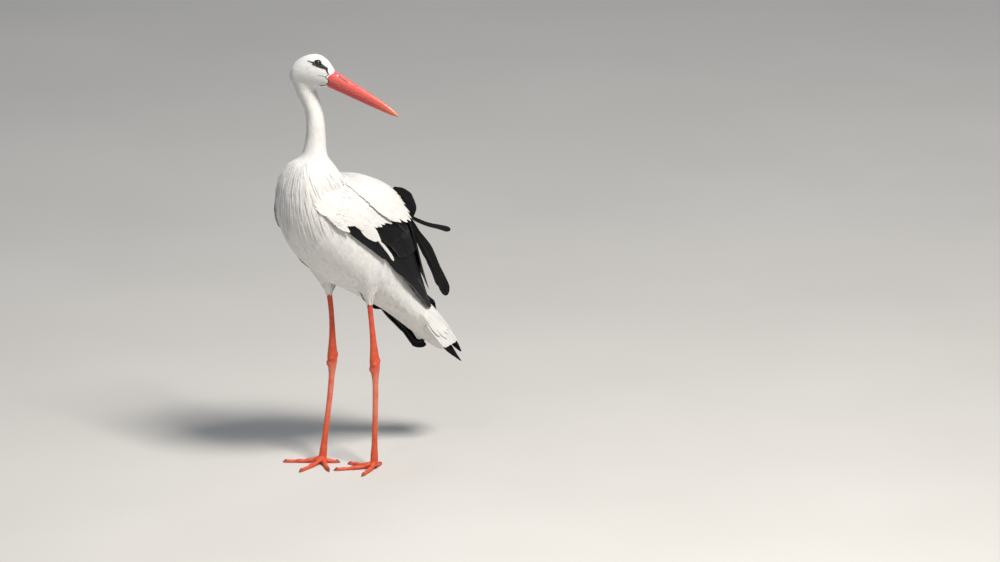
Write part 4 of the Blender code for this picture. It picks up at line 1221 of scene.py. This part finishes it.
def make_lids(side, name, finish):
    """The rim of the lids: a soft ring that lies on the eyeball, with a point towards the bill."""
    around, tube = 72, 12
    turn = np.linspace(0, math.tau, around, endpoint=False)[:, None]
    corners = 0.0
    for size, bearing in ((0.55 * MM, -12.0), (0.25 * MM, 175.0)):
        away = np.mod(turn - math.radians(bearing) + math.pi, math.tau) - math.pi
        corners = corners + size * np.exp(-(away / 0.30) ** 2)
    reach = EYE_OPENING + 0.30 * MM + corners
    height = np.sqrt(np.maximum(EYE_RADIUS ** 2 - reach ** 2, 0)) + 0.15 * MM
    thick = mix(0.62, 0.80, rise(-0.2, 0.8, np.sin(turn))) * MM
    wave = 1 + 0.08 * np.sin(9 * turn) * np.cos(4 * turn)
    phase = np.linspace(0, math.tau, tube, endpoint=False)[None]
    ring = reach + thick * wave * np.cos(phase) * 1.1
    out = height + thick * wave * np.sin(phase) * 0.9 - 0.25 * thick * np.cos(phase)
    faces = np.array(tube_faces(around + 1, tube, closed_ends=False)) % (around * tube)
    made = outward(mesh_object("eyelids_" + name, by_eye(side, ring, turn, out), faces.tolist()))
    paint(made.data, "bare", np.ones(around * tube))
    finish_piece(made, finish, "white_feathers")


# ---------------------------------------------------------------- legs and feet

SCALE_HEIGHT = 3.6 * MM  # rows of scales on the leg
BAND_LENGTH = 2.6 * MM  # bands of scales over the toes


def toe_radius(share, joints):
    pad = 0.5 - 0.5 * np.cos(math.tau * share * joints)
    return mix(TOE_ROOT, TOE_TIP, share) * (0.86 + 0.19 * pad)


def toe_line(side, degrees, length, share):
    angle = math.radians(degrees)
    x, y = leg_centre(side, 0.012)
    share = np.asarray(share, float)
    return stack3(x + side * math.sin(angle) * length * share, y - math.cos(angle) * length * share,
                  0.012 * np.exp(-share * 6))


def ring_tube(centres, radii, ahead, around, wide=1.0, high=1.0):
    """Rings of points square to a line, each as wide and high as the radii say."""
    ahead = unit(ahead)
    helper = np.where(np.abs(ahead[:, 2:]) > 0.8, np.array([[0.0, -1.0, 0.0]]), UP[None])
    sideways = unit(np.cross(ahead, helper))
    over = np.cross(sideways, ahead)
    turn = np.linspace(0, math.tau, around, endpoint=False)
    return (centres[:, None] + radii[:, None, None] * (
        wide * np.cos(turn)[None, :, None] * sideways[:, None]
        + high * np.sin(turn)[None, :, None] * over[:, None]))


def leg_lines(side):
    """Centre lines and radii of the leg and each toe."""
    z = np.linspace(LEG[-1][0], LEG[0][0], 240)
    lines = [("leg", stack3(*leg_centre(side, z).T, z), spline(LEG, z)[:, 0])]
    for toe, degrees, length, joints in TOES[side]:
        share = np.linspace(0, 1, 60)
        radius = toe_radius(share, joints)
        points = toe_line(side, degrees, length, share)
        points[:, 2] += 0.80 * radius
        lines.append((toe, points, radius))
    return lines


def scale_pattern(side, points, normals):
    """How deep each place of the leg lies between scales, and whether it is on the leg or a toe."""
    lines = [line for _, line, _ in leg_lines(side)]
    every = np.concatenate(lines)
    tree = kd_tree(every)
    nearest = np.array([tree.find(point)[1] for point in points])
    ahead = unit(np.concatenate([np.gradient(line, axis=0) for line in lines])[nearest])
    steps = [np.linalg.norm(np.diff(line, axis=0), axis=1) for line in lines]
    run = np.concatenate([np.concatenate([[0], np.cumsum(step)]) for step in steps])[nearest]
    from_line = points - every[nearest]
    run = run + dot(from_line, ahead)[:, 0]
    row, band = run / SCALE_HEIGHT, run / BAND_LENGTH
    column = np.arctan2(from_line[:, 0], -from_line[:, 1]) / math.tau * 7 + 0.5 * (np.floor(row) % 2)
    cell = np.minimum(np.abs(row - np.round(row)) * 3.6, np.abs(column - np.round(column)) * 5.4)
    scales = 1 - rise(0.0, 0.75, cell)
    bands = (1 - rise(0.0, 0.8, np.abs(band - np.round(band)) * 2.6)) * rise(-0.1, 0.5, normals[:, 2])
    on_leg = nearest < len(lines[0])
    return np.where(on_leg, scales, bands), on_leg


def make_leg(side, name, finish, claw_finish):
    """Tibia, hock, tarsus and toes as one skin, with scales and flat soles."""
    points, faces = [], []

    def add(places, new_faces):
        start = sum(len(block) for block in points)
        faces.extend([start + index for index in face] for face in new_faces)
        points.append(places)

    def add_ball(centre, radius):
        ball = bmesh.new()
        bmesh.ops.create_icosphere(ball, subdivisions=3, radius=radius)
        add(np.array([vert.co for vert in ball.verts]) + centre,
            [[vert.index for vert in face.verts] for face in ball.faces])
        ball.free()

    for kind, line, radius in leg_lines(side):
        around, wide, high = (28, 0.95, 1.05) if kind == "leg" else (20, 1.08, 0.92)
        add(ring_tube(line, radius, np.gradient(line, axis=0), around, wide, high).reshape(-1, 3),
            tube_faces(len(line), around))
        if kind != "leg":
            add_ball(line[-1], radius[-1])
    for z, ahead, out, radius in HOCK_SWELLINGS:
        x, y = leg_centre(side, z)
        add_ball((x + out, y + ahead, z), radius)
    leg = outward(mesh_object("leg_skin_" + name, np.concatenate(points), faces))
    melt(leg, 0.95 * MM, 5)
    places, normals = points_of(leg.data)
    groove, on_leg = scale_pattern(side, places, normals)
    depth = np.where(on_leg, 0.12, 0.28) * MM
    places = places - normals * (groove * depth)[:, None]
    places[:, 2] = np.maximum(places[:, 2], 0.0)
    move_points(leg.data, places)
    paint(leg.data, "groove", groove)
    paint(leg.data, "height", places[:, 2])
    from_centre = places[:, :2] - leg_centre(side, places[:, 2])
    turn = np.arctan2(from_centre[:, 0], from_centre[:, 1])
    add_map(leg.data, "OFBake", 0.5 + 0.45 * turn / math.pi, 0.02 + 0.95 * np.clip(places[:, 2] / 0.48, 0, 1))
    finish_piece(leg, finish, "leg_skin", "tibia_" + name, "tarsus_" + name, "foot_" + name)
    for toe, degrees, length, _ in TOES[side]:
        make_claw(side, name, toe, degrees, length, claw_finish)


def make_claw(side, name, toe, degrees, length, finish):
    rings, around = 14, 16
    share = np.linspace(0, 1, rings)
    tip = toe_line(side, degrees, length, 1.0)
    ahead = (toe_line(side, degrees, length, 1.02) - tip) * (1.0, 1.0, 0.0)
    ahead = unit(ahead)
    centres = tip + ahead * (CLAW * share - 0.004)[:, None]
    centres[:, 2] = 0.0044 * (1 - share ** 2) + 0.0009
    radii = 0.0031 * (1 - share) ** 0.6 + 0.0004
    points = ring_tube(centres, radii, np.broadcast_to(ahead, centres.shape), around, 1.0, 0.95)
    points[..., 2] = np.maximum(points[..., 2], 0.0002)
    made = outward(mesh_object(f"claw_{name}_{toe}_horn", points, tube_faces(rings, around)))
    paint(made.data, "along", np.broadcast_to(share[:, None], points.shape[:2]))
    finish_piece(made, finish, "claw_horn", f"claw_{name}_{toe}")


# ---------------------------------------------------------------- materials

class Finish:
    """A material's node tree, with short ways to add nodes. A plain number for a colour is a grey."""

    def __init__(self, name):
        self.made = bpy.data.materials.new(name)
        self.made.use_nodes = True
        self.nodes = self.made.node_tree.nodes
        self.links = self.made.node_tree.links
        self.shader = self.nodes["Principled BSDF"]

    def node(self, kind, inputs=(), **settings):
        made = self.nodes.new("ShaderNode" + kind)
        for key, value in settings.items():
            setattr(made, key, value)
        for key, value in dict(inputs).items():
            self.feed(made.inputs[key], value)
        return made

    def feed(self, socket, value):
        if isinstance(value, bpy.types.NodeSocket):
            self.links.new(value, socket)
        else:
            socket.default_value = value

    def mark(self, name):
        return self.node("Attribute", attribute_name=name).outputs["Fac"]

    def math(self, operation, first, second=0.0):
        return self.node("Math", {0: first, 1: second}, operation=operation).outputs[0]

    def times(self, first, second):
        return self.math("MULTIPLY", first, second)

    def spot(self, x, y, z=0.0):
        return self.node("CombineXYZ", {"X": x, "Y": y, "Z": z}).outputs["Vector"]

    def ramp(self, value, *stops):
        made = self.node("ValToRGB", {"Fac": value})
        elements = made.color_ramp.elements
        while len(elements) < len(stops):
            elements.new(0.5)
        for element, (place, colour) in zip(elements, stops):
            element.position = place
            element.color = rgba(colour)
        return made.outputs["Color"]

    def blend(self, share, first, second):
        made = self.node("Mix", {"Factor": share}, data_type="RGBA", blend_type="MIX")
        for key, value in ((6, first), (7, second)):
            self.feed(made.inputs[key], rgba(value))
        return made.outputs[2]

    def stain(self, colour, other, weight, value, *stops):
        """The colour with up to the weight of another, where the ramp of the value says."""
        if stops:
            value = self.ramp(value, *stops)
        return self.blend(self.times(value, weight), colour, other)

    def noise(self, scale, detail=4.0, vector=None):
        if vector is None:
            vector = self.node("TexCoord").outputs["Object"]
        return self.node("TexNoise", {"Scale": scale, "Detail": detail, "Roughness": 0.55,
                                      "Vector": vector}).outputs["Fac"]

    def bump(self, height, strength, distance, **under):
        return self.node("Bump", {"Strength": strength, "Distance": distance, "Height": height,
                                  **under}).outputs["Normal"]

    def surface(self, **values):
        for key, value in values.items():
            self.feed(self.shader.inputs[key.replace("_", " ")], value)
        return self.made


def rgba(colour):
    if isinstance(colour, (int, float)):
        return (colour, colour, colour, 1.0)
    return (*colour, 1.0) if isinstance(colour, tuple) else colour


def barbs(finish, fine, coarse):
    """Heights of a vane's barbs, which run out from the shaft at a slant, and of their clumps."""
    parts = finish.node("SeparateXYZ", {"Vector": finish.node("UVMap", uv_map="vane").outputs["UV"]})
    out = finish.math("ABSOLUTE", parts.outputs["X"])
    slant = finish.math("SUBTRACT", parts.outputs["Y"], finish.times(out, 1.3))
    tone = finish.mark("tone")
    return [
        finish.noise(1.0, 2.0, finish.spot(finish.times(slant, many), finish.times(out, wide),
                                           finish.times(tone, apart)))
        for many, wide, apart in ((fine, 0.7, 37.0), (coarse, 0.35, 91.0))
    ]


def white_feathers():
    finish = Finish("white_plumage")
    thin, clump = barbs(finish, 9.0, 2.2)
    bright = finish.ramp(finish.mark("tone"), (0.0, (0.66, 0.655, 0.645)), (0.4, (0.75, 0.745, 0.73)),
                         (1.0, (0.82, 0.815, 0.80)))
    cream = finish.ramp(finish.noise(14.0, 3.0), (0.35, 0), (0.75, 1))
    colour = finish.blend(0.65, bright, finish.blend(cream, bright, (0.80, 0.77, 0.71)))
    # painted shade: greyer in the low places between clumps of barbs, where the bump sinks
    colour = finish.stain(colour, (0.60, 0.59, 0.58), 0.35, clump, (0.35, 1), (0.6, 0))
    # painted shade: greyer towards each feather's root, where the feathers lying over it would shade it
    colour = finish.stain(colour, (0.56, 0.55, 0.55), 0.30, finish.mark("tip"), (0.0, 1), (0.55, 0))
    normal = finish.bump(finish.math("ADD", finish.times(thin, 0.45), clump), 0.55, 0.0006)
    return finish.surface(Base_Color=colour, Roughness=0.78, Normal=normal, Sheen_Weight=0.25,
                          Sheen_Roughness=0.4, Specular_IOR_Level=0.25)


def black_feathers():
    finish = Finish("black_plumage")
    thin, clump = barbs(finish, 8.0, 1.6)
    web, tip = finish.math("ABSOLUTE", finish.mark("web")), finish.mark("tip")
    middle = finish.ramp(tip, (0.25, 0), (0.5, 1), (0.92, 0.2))
    # silvery grey outer webs, lightest on the raised clumps of barbs: partly the webs' own grey, partly a
    # painted highlight
    silver_and_glint = finish.times(finish.ramp(web, (0.25, 0), (0.75, 1)), finish.ramp(clump, (0.40, 0), (0.70, 1)))
    # painted highlight: pale grey lines along the vanes' edges, halfway along each feather, where the edges
    # would catch the light
    fringe = finish.times(finish.ramp(web, (0.84, 0), (0.95, 1)), middle)
    colour = finish.ramp(finish.mark("tone"), (0.0, (0.0030, 0.0030, 0.0045)), (1.0, (0.007, 0.0065, 0.008)))
    colour = finish.stain(colour, (0.042, 0.042, 0.050), 0.40, finish.times(silver_and_glint, middle))
    colour = finish.blend(finish.times(fringe, finish.mark("fringe")), colour, (0.30, 0.30, 0.31))
    colour = finish.stain(colour, (0.030, 0.022, 0.018), 0.35, tip, (0.90, 0), (1.0, 1))
    normal = finish.bump(finish.math("ADD", finish.times(thin, 0.5), clump), 0.6, 0.0006)
    rough = finish.ramp(clump, (0.3, 0.38), (0.8, 0.56))
    return finish.surface(Base_Color=colour, Roughness=rough, Normal=normal, Sheen_Weight=0.0,
                          Specular_IOR_Level=0.16)


def skin_finish():
    """Under the feathers a pale downy skin, and bare black leathery skin on the face."""
    finish = Finish("skin")
    bare, wrinkles = finish.mark("bare"), finish.noise(420.0, 4.0)
    down = finish.ramp(finish.noise(260.0, 5.0), (0.3, (0.66, 0.65, 0.63)), (0.7, (0.84, 0.83, 0.81)))
    dark = finish.ramp(wrinkles, (0.3, (0.006, 0.006, 0.007)), (0.8, (0.020, 0.019, 0.022)))
    height = finish.math("ADD", finish.times(finish.noise(1400.0, 3.0), 0.4), wrinkles)
    return finish.surface(Base_Color=finish.blend(bare, down, dark), Roughness=finish.blend(bare, 0.85, 0.48),
                          Normal=finish.bump(height, 0.5, 0.0005), Specular_IOR_Level=0.4)


def bill_finish():
    finish = Finish("bill_horn_red")
    along = finish.mark("along")
    stretched = finish.node("Mapping", {
        "Vector": finish.node("TexCoord").outputs["Object"], "Rotation": (0.0, HEAD_PITCH, HEAD_YAW),
        "Scale": (0.12, 1.0, 1.0)}).outputs["Vector"]
    streak = finish.noise(420.0, 4.0, stretched)
    top = finish.ramp(along, (0.0, (0.66, 0.090, 0.085)), (0.45, (0.68, 0.080, 0.070)),
                      (0.80, (0.70, 0.10, 0.055)), (1.0, (0.72, 0.19, 0.08)))
    low = finish.ramp(along, (0.0, (0.52, 0.022, 0.026)), (0.6, (0.56, 0.035, 0.030)),
                      (1.0, (0.66, 0.13, 0.055)))
    colour = finish.blend(finish.mark("upper"), low, top)
    colour = finish.stain(colour, (0.80, 0.30, 0.27), 0.30, streak, (0.45, 0), (0.7, 1))
    colour = finish.stain(colour, (0.42, 0.03, 0.02), 0.28, finish.noise(70.0, 3.0), (0.5, 0), (0.75, 1))
    colour = finish.stain(colour, (0.82, 0.42, 0.26), 0.55, finish.mark("edge"))
    # painted shade: the nostril's slit near black, for the dark inside of the opening
    colour = finish.blend(finish.mark("slit"), colour, (0.020, 0.006, 0.007))
    rough = finish.ramp(finish.noise(160.0, 4.0, stretched), (0.3, 0.24), (0.75, 0.44))
    return finish.surface(Base_Color=colour, Roughness=rough, Normal=finish.bump(streak, 0.35, 0.0004),
                          Coat_Weight=0.18, Coat_Roughness=0.25, Subsurface_Weight=0.05,
                          Subsurface_Scale=0.004)


def leg_finish():
    finish = Finish("leg_scales")
    height, pale = finish.mark("height"), finish.noise(240.0, 5.0)
    colour = finish.ramp(finish.noise(60.0, 4.0), (0.3, (0.60, 0.060, 0.022)), (0.7, (0.74, 0.115, 0.040)))
    colour = finish.stain(colour, (0.80, 0.34, 0.20), 0.40, pale, (0.52, 0), (0.78, 1))
    colour = finish.stain(colour, (0.36, 0.030, 0.014), 0.22, finish.mark("groove"))
    washed = finish.times(finish.ramp(height, (0.085, 0), (0.120, 1), (0.215, 1), (0.240, 0)),
                          finish.ramp(finish.noise(34.0, 3.0), (0.3, 0), (0.6, 1)))
    colour = finish.stain(colour, (0.80, 0.36, 0.27), 0.38, washed)
    # painted shade: the upper leg darker red, as in the shade under the body
    colour = finish.stain(colour, (0.46, 0.030, 0.020), 0.35, height, (0.27, 0), (0.42, 1))
    skin = finish.bump(finish.noise(1500.0, 3.0), 0.35, 0.0003)
    return finish.surface(Base_Color=colour, Roughness=finish.ramp(pale, (0.3, 0.40), (0.8, 0.62)),
                          Normal=finish.bump(pale, 0.35, 0.0004, Normal=skin), Specular_IOR_Level=0.45)


def claw_finish():
    finish = Finish("claw_horn_dark")
    lines = finish.noise(700.0, 3.0)
    colour = finish.ramp(finish.mark("along"), (0.0, (0.50, 0.075, 0.035)), (0.45, (0.30, 0.060, 0.036)),
                         (1.0, (0.14, 0.060, 0.045)))
    colour = finish.stain(colour, (0.060, 0.026, 0.020), 0.35, lines)
    return finish.surface(Base_Color=colour, Roughness=0.42, Normal=finish.bump(lines, 0.4, 0.0003),
                          Specular_IOR_Level=0.5)


def eye_finish():
    finish = Finish("eye_dark")
    iris = finish.mark("iris")
    place = finish.spot(finish.times(finish.mark("turn"), 9.0), finish.times(iris, 2.0))
    brown = finish.ramp(finish.noise(2.0, 3.0, place), (0.3, (0.006, 0.003, 0.003)),
                        (0.75, (0.022, 0.011, 0.007)))
    shown = finish.ramp(iris, (0.44, 0), (0.50, 1), (0.88, 1), (0.98, 0))
    colour = finish.blend(shown, (0.003, 0.003, 0.004), brown)
    return finish.surface(Base_Color=colour, Roughness=0.18, Coat_Weight=1.0, Coat_Roughness=0.02,
                          Specular_IOR_Level=0.5)


def floor_finish():
    finish = Finish("studio_floor")
    shade = finish.ramp(finish.noise(1.2, 2.0), (0.3, (0.60, 0.585, 0.56)), (0.7, (0.64, 0.625, 0.60)))
    return finish.surface(Base_Color=shade, Roughness=0.9)


# ---------------------------------------------------------------- studio

CAMERA_AZIMUTH = math.radians(50.0)
CAMERA_ELEVATION = math.radians(15.0)
CAMERA_DISTANCE = 40.0
VIEW_WIDTH = 2.25  # metres across the picture at the bird
AIM = (0.3420, 0.41605)  # the picture's middle, right of and over the middle between the feet


def view_axes():
    """To the right of the picture, up in it, and back to the camera."""
    a, e = CAMERA_AZIMUTH, CAMERA_ELEVATION
    back = np.array([math.sin(a) * math.cos(e), -math.cos(a) * math.cos(e), math.sin(e)])
    right = np.array([math.cos(a), math.sin(a), 0.0])
    return right, np.cross(back, right), back


def make_camera():
    right, up, back = view_axes()
    data = bpy.data.cameras.new("camera")
    data.sensor_width = 36.0
    data.lens = data.sensor_width * CAMERA_DISTANCE / VIEW_WIDTH
    data.clip_end = 400.0
    camera = add_object("camera", data)
    place = OFFSET + AIM[0] * right + AIM[1] * up + CAMERA_DISTANCE * back
    turn = Matrix(np.column_stack([right, up, back]).tolist())
    camera.matrix_world = Matrix.Translation(Vector(place)) @ turn.to_4x4()
    bpy.context.scene.camera = camera


def area_light(name, azimuth, elevation, distance, size, power, colour):
    """A square soft light that looks at the bird's middle from a compass bearing."""
    a, e = math.radians(azimuth), math.radians(elevation)
    away = Vector((math.sin(a) * math.cos(e), -math.cos(a) * math.cos(e), math.sin(e)))
    target = Vector((0.0, 0.0, 0.5))
    data = bpy.data.lights.new(name, "AREA")
    data.size = size
    data.energy = power
    data.color = colour
    light = add_object(name, data)
    light.location = target + away * distance
    light.rotation_euler = (-away).to_track_quat("-Z", "Y").to_euler()


def make_studio():
    """A pale floor, a dim sky and four lamps."""
    reach, count = 90.0, 9  # half the floor's width, and its points along each side
    mesh = bpy.data.meshes.new("floor")
    steps = np.linspace(-reach, reach, count)
    points = [(x, y, 0.0) for y in steps for x in steps]
    corners = [row * count + column for row in range(count - 1) for column in range(count - 1)]
    faces = [(a, a + 1, a + count + 1, a + count) for a in corners]
    mesh.from_pydata(points, [], faces)
    mesh.materials.append(floor_finish())
    floor = add_object("floor", mesh)
    world = bpy.data.worlds.new("studio")
    world.use_nodes = True
    sky = world.node_tree.nodes["Background"].inputs
    sky["Color"].default_value = (0.72, 0.83, 1.0, 1.0)
    sky["Strength"].default_value = 0.19
    bpy.context.scene.world = world
    bpy.context.scene.view_settings.view_transform = "Standard"
    area_light("key", 84.0, 56.0, 5.0, 1.3, 330.0, (1.0, 0.955, 0.89))
    area_light("fill", -20.0, 30.0, 6.0, 3.5, 10.0, (0.84, 0.91, 1.0))
    area_light("catchlight", 30.0, 50.0, 2.5, 0.22, 4.5, (1.0, 1.0, 1.0))
    area_light("back", 215.0, 45.0, 6.0, 3.0, 60.0, (1.0, 0.98, 0.95))


# ---------------------------------------------------------------- the bird

def main():
    white, black, bare = white_feathers(), black_feathers(), skin_finish()
    horn, scales, claw, eye = bill_finish(), leg_finish(), claw_finish(), eye_finish()
    make_camera()
    skin = make_skin()
    finish_piece(skin, bare, "white_feathers", *FLESH)
    make_body_coat(Ground(skin), white)
    for side, name in SIDES:
        make_wing(side, name, white, black)
        make_eye(side, name, eye)
        make_lids(side, name, bare)
        make_leg(side, name, scales, claw)
    make_long_feathers(black)
    make_tail(white)
    mandible("upper_mandible", True, horn, "bill_upper")
    mandible("lower_mandible", False, horn, "bill_lower")
    make_studio()


main()
